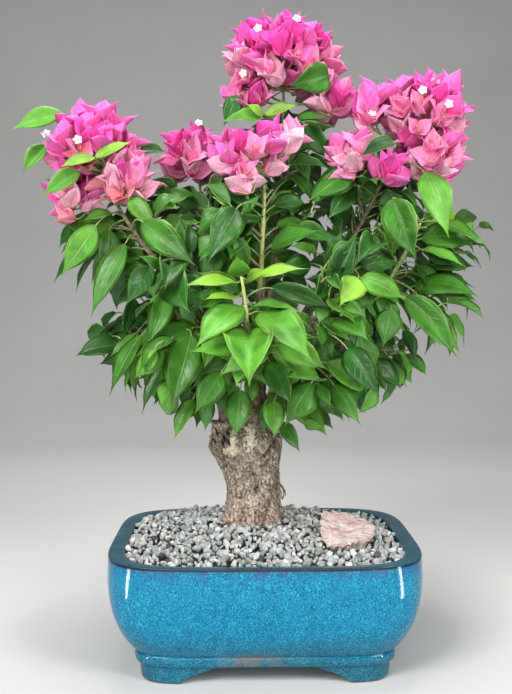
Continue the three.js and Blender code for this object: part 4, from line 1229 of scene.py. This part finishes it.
# Blades
def blade_half(t, outline):
    """Half width along a blade, 1 at its widest: an egg that runs out into a drawn tip."""
    rise, fall, body, tail = outline
    peak = rise / (rise + fall)
    share = np.clip(t / body, 0, 1)
    egg = share**rise * (1 - share) ** fall / (peak**rise * (1 - peak) ** fall)
    tip = tail * np.clip((1 - t) / 0.3, 0, 1) * ease(t, 0.35, 0.8)
    return np.hypot(egg, tip)


def sheet_faces(sheet, base):
    """Triangles over one side of a blade, with fans to its base corner and to the next one, its tip."""
    rows, columns = sheet.shape
    ends = np.full(columns - 1, base)
    return np.concatenate([
        sheet.ravel()[grid_faces(rows, columns, wrap=False)],
        np.stack([ends, sheet[0, 1:], sheet[0, :-1]], -1),
        np.stack([ends + 1, sheet[-1, :-1], sheet[-1, 1:]], -1),
    ])


class Blade:
    """The plan of a thin closed blade: corners along and across, triangles and spread of sizes."""

    def __init__(self, stations, strips, outline, length, width, thickness, spreads):
        self.length, self.width, self.thickness, self.spreads = length, width, thickness, spreads
        along = (1 - np.cos(np.linspace(0, math.pi, stations + 1))) / 2
        t, s = np.meshgrid(along[1:-1], np.linspace(-1, 1, strips + 1), indexing="ij")
        inner = t[:, 1:-1]
        top = np.arange(t.size).reshape(t.shape)
        under = top.copy()
        under[:, 1:-1] = t.size + 2 + np.arange(inner.size).reshape(inner.shape)
        self.t = np.concatenate([t.ravel(), [0, 1], inner.ravel()])
        self.s = np.concatenate([s.ravel(), [0, 0], s[:, 1:-1].ravel()])
        self.below = np.repeat([0.0, 1.0], [t.size + 2, inner.size])
        sheets = [sheet_faces(top, t.size)[:, ::-1], sheet_faces(under, t.size)]
        self.faces = np.concatenate(sheets)
        self.kinds = np.repeat([0, 1], [len(sheet) for sheet in sheets])
        self.place = np.stack([self.s / 2 + 0.5, self.t], -1)
        self.half = blade_half(self.t, outline)

    def sizes(self, random, scale):
        """The sizes of one blade, with its bend and twist in radians."""
        size = {name: random.uniform(low, high) for name, (low, high) in self.spreads.items()}
        size["length"] = self.length * scale
        size["width"] *= self.length * self.width * scale
        return size

    def points(self, root, along, face, size):
        """Corners of one blade that leaves root along a way, with its upper side towards face."""
        t, s, edge = self.t, self.s, np.abs(self.s)
        half = size["width"] / 2 * self.half
        across = unit(np.cross(face, along))
        front = np.cross(along, across)
        tilt = size["bend"] * t
        run = size["length"] * np.sin(tilt) / size["bend"]
        drop = -size["length"] * (1 - np.cos(tilt)) / size["bend"]
        beat = np.sin(size["beats"] * 2 * math.pi * t + size["phase"] * np.sign(s))
        lift = half * (size["fold"] * edge - size["roll"] * edge**2) + size["wave"] * half * edge**2 * beat
        twist = size["twist"] * t
        x = half * s * np.cos(size["fold"] * 0.8)
        x, lift = x * np.cos(twist) - lift * np.sin(twist), x * np.sin(twist) + lift * np.cos(twist)
        lift = lift - self.below * self.thickness * (1 - edge)
        y = run + lift * np.sin(tilt)
        z = drop + lift * np.cos(tilt)
        return root + y[:, None] * along + x[:, None] * across + z[:, None] * front


LEAF = Blade(11, 6, LEAF_OUTLINE, LEAF_LENGTH, LEAF_WIDTH, LEAF_THICKNESS, LEAF_SPREADS)
BRACT = Blade(10, 6, BRACT_OUTLINE, BRACT_LENGTH, BRACT_WIDTH, BRACT_THICKNESS, BRACT_SPREADS)


# Leaves
class Crowd:
    """Sample points of everything placed so far, sorted into cells, so that new blades find room."""

    def __init__(self):
        self.cells, self.points = {}, []

    def add(self, points):
        keys = np.floor(points / CROWD_CELL).astype(int)
        for key, point in zip(map(tuple, keys), points):
            self.cells.setdefault(key, []).append(len(self.points))
            self.points.append(point)

    def room(self, points):
        """How far the nearest sample is, at most one cell."""
        keys = np.unique(np.floor(points / CROWD_CELL).astype(int), axis=0)
        nearby = np.unique((keys[:, None, :] + NEXT_CELLS).reshape(-1, 3), axis=0)
        near = [index for key in map(tuple, nearby) for index in self.cells.get(key, ())]
        if not near:
            return CROWD_CELL
        gaps = np.array([self.points[index] for index in near])[:, None, :] - points[None, :, :]
        return min(CROWD_CELL, math.sqrt((gaps**2).sum(-1).min()))


class Tree:
    """What has grown so far: leaves by tone, stems by kind, and the room that leaves and limbs take."""

    def __init__(self):
        self.leaves = {tone: Joined() for tone in LEAF_TONES}
        self.stems = {kind: Joined() for kind in ("green", "brown", "young")}
        self.crowd, self.limbs = Crowd(), Crowd()

    def petiole(self, start, leaving, root, arriving):
        reach = np.linalg.norm(root - start)
        pulls = start + leaving * reach * 0.45, root - arriving * reach * 0.4
        path = Path(start, *pulls, root + arriving * 1.5)
        self.stems["green"].add(*path.rod(PETIOLE_RADIUS * np.linspace(1.25, 0.75, 6), 5))

    def leaf(self, tone, points):
        self.leaves[tone].add(points, LEAF.faces, LEAF.place, LEAF.kinds)
        self.crowd.add(points[::LEAF_PROBE])


def mark_limbs(tree, paths):
    """Samples of boughs, arms and trunk, so that leaves and twigs keep clear of the wood."""
    for name in SHOOTS:
        tree.limbs.add(paths[name].at(np.linspace(0.25, 0.97, 30)))
    for name in ARMS:
        tree.limbs.add(paths[name].at(np.linspace(0, 1, 12)))
    angles = around(16)
    for height, x, half in TRUNK_STATIONS:
        level = np.full(len(angles), GROUND + height)
        tree.limbs.add(np.stack([x + half * np.cos(angles), TRUNK_Y + half * np.sin(angles), level], -1))


def hang(height):
    """How strongly a leaf at a height hangs down."""
    (low, low_pull), (high, high_pull) = LEAF_HANG
    return low_pull + (high_pull - low_pull) * (height - low) / (high - low)


def below_crown(points):
    """Whether any point hangs under the lower edge of the crown, which climbs away from the trunk."""
    lowest, radius, climb = CROWN_EDGE
    away = np.hypot(points[:, 0], points[:, 1] - TRUNK_Y)
    return np.any(points[:, 2] < lowest + climb * np.maximum(0, away - radius))


def try_leaf(tree, random, place, way, turn, ripe, reach):
    """A leaf turned at random on a twig: its corners, root and two ways, or None where it can't be."""
    outward = unit(place - CROWN_HEART)
    level = unit(outward * LEVEL + UP * max(outward[2], 0.0))
    side = blend((turned(way, turn + random.uniform(-0.7, 0.7)), 1), (way, 0.5))
    leaving = blend((side, 1.0), (outward, 0.4), (UP, 0.25))
    sag = hang(place[2]) * random.uniform(0.1, 1.5)
    along = blend((outward, 0.45), (side, 0.75), (UP, -sag), (random.uniform(-1, 1, 3), 0.4))
    to_light = LIGHT_TURN * max(0.0, 0.6 - outward[1])
    face = blend((level, 1.0), (UP, 0.55), (FRONT, to_light), (random.uniform(-1, 1, 3), 0.75))
    if abs(face @ along) > LEAF_EDGE_ON:
        return None
    scale = random.uniform(*LEAF_SIZES) * (0.45 + 0.55 * ripe)
    petiole = random.uniform(*PETIOLE_LENGTHS) * (0.4 + 0.6 * ripe)
    root = place + blend((leaving, 1.0), (along, 0.45)) * petiole
    if tree.crowd.room(between(place, root, 0.3, 0.9, 4)) < STALK_ROOM:
        return None
    points = LEAF.points(root, along, face, LEAF.sizes(random, scale))
    low, high = reach
    if np.any(points < low) or np.any(points > high) or below_crown(points):
        return None
    if tree.limbs.room(points[::LEAF_PROBE]) < LEAF_LIMB_ROOM:
        return None
    return points, root, along, leaving


def grow_leaf(tree, random, place, way, turn, ripe, tones, reach):
    """The roomiest of a few tries at a leaf on a twig, or none where there is no room."""
    best, best_room = None, LEAF_ROOM * (0.6 + 0.4 * ripe)
    for _ in range(LEAF_TRIES):
        made = try_leaf(tree, random, place, way, turn, ripe, reach)
        room = tree.crowd.room(made[0][::LEAF_PROBE]) if made else 0.0
        if room > best_room:
            best, best_room = made, room
        if room >= CROWD_CELL:
            break
    if best is None:
        return
    points, root, along, leaving = best
    tree.petiole(place, leaving, root, along)
    tone = tones[int(random.integers(len(tones)))]
    tree.leaf("fresh" if tone == "young" and ripe > YOUNG_RIPE else tone, points)


def nearest_limb(point, limbs):
    """How far the nearest limb is, its nearest place and its way there."""
    found = []
    for path in limbs:
        gaps = np.linalg.norm(path.points - point, axis=1)
        k = int(gaps.argmin())
        found.append((gaps[k], path, k))
    gap, path, k = min(found, key=lambda row: row[0])
    return gap, path.points[k], path.way(path.run[k] / path.length)


def pose_leaf(tree, random, row, limbs):
    """A leaf at a given place, on a stalk from the nearest limb. Returns its corners."""
    root, tip, width, roll, tone = row
    root, tip = np.array(root, float), np.array(tip, float)
    along = unit(tip - root)
    across = unit(np.cross(CAMERA_PLACE - root, along))
    front = np.cross(along, across)
    if abs(across[2]) > 0.35:
        across, roll = across * np.sign(across[2]), abs(roll)
    face = front * math.cos(math.radians(roll)) + across * math.sin(math.radians(roll))
    length = np.linalg.norm(tip - root) * 1.04
    size = LEAF.sizes(random, length / LEAF_LENGTH)
    bend = random.uniform(*POSED_BENDS)
    size.update(width=length * width * POSED_WIDTH, bend=bend, twist=random.uniform(*POSED_TWISTS))
    leaving = along * math.cos(bend / 2) + face * math.sin(bend / 2)
    points = LEAF.points(root, leaving, face, size)
    gap, start, way = nearest_limb(root, limbs)
    out = blend((root - start, 1.0), (way, 0.35 * gap))
    stalk = Path(start, start + out * gap * 0.45, root - leaving * min(0.3 * gap, 9), root + leaving * 1.5)
    share = np.linspace(0, 1, 9)
    radii = PETIOLE_RADIUS * (1.2 - 0.45 * share) + 0.008 * gap * (1 - share)
    tree.stems["green"].add(*stalk.rod(radii, 6))
    tree.leaf(tone, points)
    tree.crowd.add(points)
    return points


def keep_sight(tree, points, runs):
    """Holds the room between some points and the camera free of other leaves."""
    toward = unit(CAMERA_PLACE - points)
    for run in runs:
        tree.crowd.add(points + toward * run)


def lobe_front(lobe):
    """Points over the side of a lobe of blossom that faces the camera."""
    centre, half = np.array(lobe, float)
    x, z = np.meshgrid(np.arange(-half[0], half[0], SIGHT_PITCH), np.arange(-half[2], half[2], SIGHT_PITCH))
    deep = 1 - (x / half[0]) ** 2 - (z / half[2]) ** 2
    x, z, deep = x[deep > 0], z[deep > 0], deep[deep > 0]
    return centre + np.column_stack([x, -half[1] * np.sqrt(deep), z])


def pose_leaves(tree, paths):
    """The front shoot and the leaves that stand out, then a free view of them, stems, trunk and heads."""
    random = np.random.default_rng(POSED_SEED)
    limbs = [paths[name] for name in SHOOTS] + [*map(stem_path, SHOOTS), *map(head_stem, HEADS)]
    first, *rest = np.array(FRONT_SHOOT, float)
    _, start, _ = nearest_limb(first, limbs)
    shoot = Path(start, first, *rest)
    share = np.linspace(0, 1, 20)
    joints = 1 + 0.2 * np.sin(share * 14) ** 10
    tree.stems["young"].add(*shoot.rod((1.9 - 0.8 * share) * joints, 9))
    limbs.append(shoot)
    seen = [pose_leaf(tree, random, row, limbs)[::2] for row in POSED_LEAVES]
    for path in [*map(stem_path, SEEN_STEMS), shoot]:
        middle = path.at(np.linspace(0.1, 0.95, 24))
        seen += [middle + (side, 0, 0) for side in (-SEEN_WIDTH, 0, SEEN_WIDTH)]
    keep_sight(tree, np.concatenate(seen), LEAF_SIGHT)
    for x_span, z_span in SEEN_TRUNK:
        x, z = np.meshgrid(np.arange(*x_span, SIGHT_PITCH), np.arange(*z_span, SIGHT_PITCH))
        wood = np.column_stack([x.ravel(), np.full(x.size, TRUNK_Y - TRUNK_FRONT), z.ravel()])
        keep_sight(tree, wood, TRUNK_SIGHT)
    for lobes in HEAD_LOBES.values():
        for lobe in lobes:
            keep_sight(tree, lobe_front(lobe), HEAD_SIGHT)


def shoot_reach(name):
    """The lowest and highest corners for a shoot's leaves, which stand up between the flowers of a head."""
    low, high = [(np.array(corner) - POT_MIDDLE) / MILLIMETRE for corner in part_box(f"leaves_{name}")]
    low, high = low - REACH_MARGIN, high + REACH_MARGIN
    if name in [shoot for shoot, _ in HEADS.values()]:
        high = high + UP * HEAD_REACH
    return low - UP * SPUR_DROP * (low[2] < CROWN_HEART[2] - 50), high


def twig_fits(tree, line, reach):
    """Whether a twig stays in its shoot's reach, well above the crown's lower edge, and clear of leaves."""
    tip = line[-1]
    inside = np.all(tip > reach[0]) and np.all(tip < reach[1])
    return inside and not below_crown(line - UP * TWIG_CLEAR) and tree.crowd.room(line) > TWIG_ROOM


def grow_fine_twigs(tree, random, twig, direction, outward, reach):
    """Finer twigs on a twig, as paths with the span that bears leaves."""
    carriers = []
    for k in range(FINE_TWIGS):
        start = twig.at(0.4 + 0.35 * k)
        side = turned(direction, 2.4 * k + 6 * random.random())
        fork = blend((side, 1), (direction, 0.7), (outward, 0.3))
        tip = start + fork * random.uniform(*FINE_TWIG_LENGTHS)
        if twig_fits(tree, between(start, tip, 0.3, 1.0, 4), reach):
            fine = Path(start, tip)
            tree.stems["green"].add(*fine.rod(np.linspace(*FINE_TWIG_RADII, 5), 5))
            carriers.append((fine, 0.55, 1.0))
    return carriers


def grow_twigs(tree, random, stem, reach):
    """Twigs on a shoot's stem and the finer twigs on these, as paths with the span that bears leaves."""
    carriers = []
    for k in range(TWIGS):
        along = TWIG_SPAN[0] + (TWIG_SPAN[1] - TWIG_SPAN[0]) * (k + 0.5) / TWIGS
        place, way = stem.at(along), stem.way(along)
        outward = unit(place - CROWN_HEART)
        for _ in range(TWIG_TRIES):
            side = turned(way, k * GOLDEN_ANGLE + 2 * random.random())
            direction = blend((side, 1), (way, 0.4), (outward, 0.35))
            length = random.uniform(*TWIG_LENGTHS)
            end = place + direction * length
            clear = twig_fits(tree, between(place, end, 0.3, 1.0, 10), reach)
            if clear and tree.limbs.room(end[None]) > TWIG_LIMB_ROOM:
                twig = Path(place, place + direction * length * 0.5 + UP * 2.5, end)
                tree.stems["brown"].add(*twig.rod(np.linspace(*TWIG_RADII, 8), 6))
                carriers.append((twig, 0.3, 1.0))
                carriers += grow_fine_twigs(tree, random, twig, direction, outward, reach)
                break
    return carriers


def grow_shoot(tree, name, index, bough):
    """A leafy shoot: one stem with its twigs, and leaves along these and along its bough."""
    random = np.random.default_rng(SHOOT_SEED + index)
    reach = shoot_reach(name)
    stem = stem_path(name)
    share = np.linspace(0, 1, 22)
    nodes = 1 + 0.16 * np.sin(share * stem.length / 13) ** 8
    radii = STEM_RADII[0] + (STEM_RADII[1] - STEM_RADII[0]) * share
    tree.stems[STEM_KINDS.get(name, "brown")].add(*stem.rod(radii * nodes, 9))
    tones = SPRAY_TONES.get(name, OTHER_TONES)
    carriers = [(stem, 0.05, 1.0), (bough, *SPUR_SPAN), *grow_twigs(tree, random, stem, reach)]
    turn = random.uniform(0, 6)
    for path, low, high in carriers:
        count = max(1, int(round(path.length * (high - low) / LEAF_PITCH)))
        for k in range(count):
            along = low + (high - low) * (k + 0.5) / count
            turn += GOLDEN_ANGLE
            ripe = 1 - 0.55 * ease(along, 0.72, 1.0)
            grow_leaf(tree, random, path.at(along), path.way(along), turn, float(ripe), tones, reach)


# Blossom
class Bloom:
    """Bracts by tone, tubes, pedicels and open stars, and the base and axis of every flower."""

    def __init__(self):
        self.bracts = {tone: Joined() for tone in BRACT_TONES}
        self.tubes, self.pedicels, self.stars = Joined(), Joined(), Joined()
        self.crowd = Crowd()
        self.flowers = []


def star_shape():
    """An open flower round its own axis, with its throat."""
    angles = around(STAR_LOBES * 6)
    swell = 0.62 + 0.38 * np.abs(np.cos(STAR_LOBES * angles / 2)) ** 0.8
    rows = []
    for share, lift in STAR_ROWS:
        reach = STAR_RADIUS * share * (swell if share > 0.3 else 1.0)
        wave = 0.35 * np.cos(2 * STAR_LOBES * angles) * share
        rows.append(np.stack([reach * np.cos(angles), reach * np.sin(angles), lift + wave], -1))
    rows.append(rows[0])
    return np.concatenate(rows), grid_faces(len(rows), len(angles))


STAR = star_shape()


def add_star(bloom, end, way):
    points, faces = STAR
    side = turned(way, 0.0)
    axes = np.stack([side, np.cross(way, side), way])
    bloom.stars.add(points @ axes + end + way * 1.2, faces)


def show_star(bloom, flowers, place):
    """An open star on a long tube, on the flower that stands nearest to a place for the camera."""
    toward = unit(CAMERA_PLACE - place)

    def apart(flower):
        base, axis = flower
        gap = base + axis * BRACT_LENGTH - place
        nearer = gap @ toward
        return np.linalg.norm(gap - toward * nearer) - 0.3 * nearer

    base, axis = min(flowers, key=apart)
    end = base + axis * BRACT_LENGTH * BRACT_RISE + toward * 5
    bloom.tubes.add(*Path(base + axis * 2, base + axis * 14, end).rod(SHOWN_TUBE_RADII, 6))
    add_star(bloom, end, blend((axis, 0.6), (toward, 0.7)))


def grow_flower(bloom, random, base, axis, tones, opened):
    """Three bracts round an axis, each with its slim tube, and one open star if it has opened."""
    turn = random.uniform(0, 6)
    scale = random.uniform(*BRACT_SIZES)
    made = []
    for k in range(3):
        radial = turned(axis, turn + k * 2 * math.pi / 3 + random.uniform(-0.15, 0.15))
        tilt = random.uniform(*BRACT_TILTS)
        along = unit(axis * math.cos(tilt) + radial * math.sin(tilt))
        face = unit(axis * math.sin(tilt) - radial * math.cos(tilt) + random.uniform(-0.2, 0.2, 3))
        made.append((BRACT.points(base, along, face, BRACT.sizes(random, scale)), along, radial))
    probe = np.concatenate([points[BRACT_PROBE] for points, _, _ in made])
    if bloom.crowd.room(probe) < BRACT_ROOM:
        return False
    bloom.crowd.add(probe)
    tone = tones[int(random.integers(len(tones)))]
    for k, (points, along, radial) in enumerate(made):
        bloom.bracts[tone].add(points, BRACT.faces, BRACT.place)
        start = base + along * 2.0
        way = blend((along, 0.6), (axis, 0.8))
        end = start + way * TUBE_LENGTH * random.uniform(0.8, 1.1)
        bend = (start + end) / 2 - radial * 1.2
        bloom.tubes.add(*Path(start, bend, end).rod(TUBE_RADII, 6))
        if opened and k == 0:
            add_star(bloom, end, way)
    bloom.flowers.append((base, axis))
    return True


def place_flower(bloom, random, lobe, others, shell, turn, height, low_tones):
    """A flower on one shell of a lobe, in a few tries: its base and axis, or None where there is no room."""
    centre, half = lobe
    level = math.sqrt(max(0.0, 1 - height * height))
    outer = shell > INNER_SHELL
    for _ in range(FLOWER_TRIES):
        angle = turn + random.uniform(-0.5, 0.5)
        rise = height + random.uniform(-0.08, 0.08)
        spread = np.array([level * math.cos(angle), level * math.sin(angle), rise])
        axis = blend((spread, 1), (UP, 0.85), (random.uniform(-1, 1, 3), 0.3))
        tip = centre + spread * half * shell
        if any(np.linalg.norm((tip - middle) / size) < LOBE_OVERLAP for middle, size in others):
            return None
        base = tip - axis * BRACT_LENGTH * BRACT_RISE
        outer_tones = low_tones if rise < LOW_LEVEL else HIGH_TONES
        opened = outer and rise > OPEN_LEVEL and random.random() < OPEN_SHARE
        if grow_flower(bloom, random, base, axis, outer_tones if outer else INNER_TONES, opened):
            return base, axis
    return None


def grow_lobe(bloom, tree, random, head, lobe, others, low_tones):
    """One lobe of a head: a side stem, and flowers over an egg in an outer and, if large, an inner shell."""
    centre, half = lobe
    fork, top = head.at(0.4), centre - UP * half[2] * 0.3
    stem = Path(fork, (fork + top) / 2 + (top - fork) * LEVEL * 0.25, top)
    tree.stems["green"].add(*stem.rod(np.linspace(*LOBE_STEM_RADII, 9), 6))
    whole = FLOWER_DENSITY * (half[0] * half[1] + half[1] * half[2] + half[2] * half[0])
    shells = [(1.0, 1.0)] + [(INNER_SHELL, INNER_PART)] * int(min(half) > SMALL_LOBE)
    for shell, part in shells:
        count = int(whole * part)
        for k in range(count):
            height = 1 - HEAD_COVER * (k + 0.5) / count
            flower = place_flower(bloom, random, lobe, others, shell, k * GOLDEN_ANGLE, height, low_tones)
            if flower is None:
                continue
            base, axis = flower
            root = stem.at(max(0.3, 0.98 - 0.6 * (k + 0.5) / count))
            bend = (root + base) / 2 + UP * 4 - axis * 6
            path = Path(root, bend, base - axis * 5, base + axis)
            bloom.pedicels.add(*path.rod(np.linspace(*PEDICEL_RADII, 7), 5))


def grow_head(bloom, tree, name, index):
    """A head of blossom: lobes of flowers whose pedicels spread from one stem, and its open stars."""
    random = np.random.default_rng(HEAD_SEED + index)
    first = len(bloom.flowers)
    stem = head_stem(name)
    tree.stems["green"].add(*stem.rod(np.linspace(*HEAD_STEM_RADII, 12), 7))
    low_tones = FADED_TONES if name == FADED_HEAD else LOW_TONES
    lobes = list(np.array(HEAD_LOBES[name], float))
    for lobe in lobes:
        others = [other for other in lobes if other is not lobe]
        grow_lobe(bloom, tree, random, stem, lobe, others, low_tones)
    for place in STARS.get(name, ()):
        show_star(bloom, bloom.flowers[first:], place)


# The plant
make_pot()
make_bed()
make_grains()
make_stone()
make_trunk()
make_rootlets()
paths = bough_paths()
make_boughs(paths)

tree, bloom = Tree(), Bloom()
mark_limbs(tree, paths)
for index, name in enumerate(HEADS):
    grow_head(bloom, tree, name, index)
tree.crowd.add(np.array(bloom.crowd.points))
pose_leaves(tree, paths)
for index, name in enumerate(SHOOTS):
    grow_shoot(tree, name, index, paths[name])

leaf_nodes = [f"leaves_{name}" for name in SHOOTS]
head_nodes = [f"blossom_{name}" for name in HEADS]
underside = leaf_material("leaf_underside", *UNDERSIDE)
for tone, joined in tree.leaves.items():
    top = leaf_material(f"leaf_{tone}", *LEAF_TONES[tone])
    add_piece(f"foliage_{tone}", joined, [top, underside], leaf_nodes)
for tone, joined in bloom.bracts.items():
    bract = bract_material(f"bract_{tone}", *BRACT_TONES[tone])
    add_piece(f"bracts_{tone}", joined, [bract], head_nodes)
for name, joined, material, slot, nodes in (
    ("green_stems", tree.stems["green"], "green_stem", "leaf", leaf_nodes),
    ("brown_stems", tree.stems["brown"], "brown_stem", "bark", leaf_nodes),
    ("young_stems", tree.stems["young"], "young_stem", "leaf", ["leaves_front", "leaves_mid"]),
    ("pedicels", bloom.pedicels, "pedicel", "leaf", head_nodes),
    ("flower_tubes", bloom.tubes, "flower_tube", "blossom", head_nodes),
    ("open_flowers", bloom.stars, "white_flower", "blossom", head_nodes),
):
    add_piece(name, joined, [stem_material(material)], nodes)


# Stage, light and camera
def make_stage():
    """A floor that bends up into a wall behind the pot."""
    start = WALL_PLACE - WALL_BEND
    curve = [(start + WALL_BEND * math.sin(a), WALL_BEND * (1 - math.cos(a))) for a in quarter(24)]
    profile = [(FLOOR_FRONT, 0.0), *curve, (WALL_PLACE, WALL_HEIGHT)]
    points = [(side, y, z) for y, z in profile for side in (-STAGE_HALF_WIDTH, STAGE_HALF_WIDTH)]
    faces = [(2 * k, 2 * k + 1, 2 * k + 3, 2 * k + 2) for k in range(len(profile) - 1)]
    data = bpy.data.meshes.new("floor")
    data.from_pydata(points, [], faces)
    data.polygons.foreach_set("use_smooth", np.full(len(faces), True))
    paint = Paint("floor", 0.7)
    tone = paint.ramp(paint.spots(3.0, 2), list(zip((0.3, 0.7), FLOOR_TONES)))
    paint.links.new(tone, paint.shader.inputs["Base Color"])
    data.materials.append(paint.made)
    floor = bpy.data.objects.new("floor", data)
    bpy.context.scene.collection.objects.link(floor)


def add_light(name, place, target, size, power):
    data = bpy.data.lights.new(name, "AREA")
    data.shape = "RECTANGLE"
    data.size, data.size_y = size
    data.energy = power
    lamp = bpy.data.objects.new(name, data)
    bpy.context.scene.collection.objects.link(lamp)
    lamp.location = place
    lamp.rotation_euler = (Vector(target) - Vector(place)).to_track_quat("-Z", "Y").to_euler()
    return lamp


def make_camera():
    data = bpy.data.cameras.new("camera")
    data.sensor_width = SENSOR
    data.lens = FOCAL_PIXELS / FRAME_HEIGHT * SENSOR
    data.clip_start, data.clip_end = 0.01, 50
    camera = bpy.data.objects.new("camera", data)
    bpy.context.scene.collection.objects.link(camera)
    camera.location = CAMERA_PLACE * MILLIMETRE + POT_MIDDLE
    camera.rotation_euler = (math.radians(90 - CAMERA_PITCH), 0, -math.radians(CAMERA_YAW))
    bpy.context.scene.camera = camera


make_stage()
world = bpy.data.worlds.new("world")
world.use_nodes = True
background = world.node_tree.nodes["Background"].inputs
background["Color"].default_value = WORLD_TONE
background["Strength"].default_value = WORLD_STRENGTH
bpy.context.scene.world = world
for name, row in LIGHTS.items():
    add_light(name, *row)
for name, (place, target) in STRIPS.items():
    strip = add_light(name, POT_MIDDLE + place, POT_MIDDLE + target, STRIP_SIZE, STRIP_POWER)
    strip.visible_camera = False
    strip.visible_diffuse = False
bpy.context.scene.view_settings.view_transform = "Standard"
make_camera()
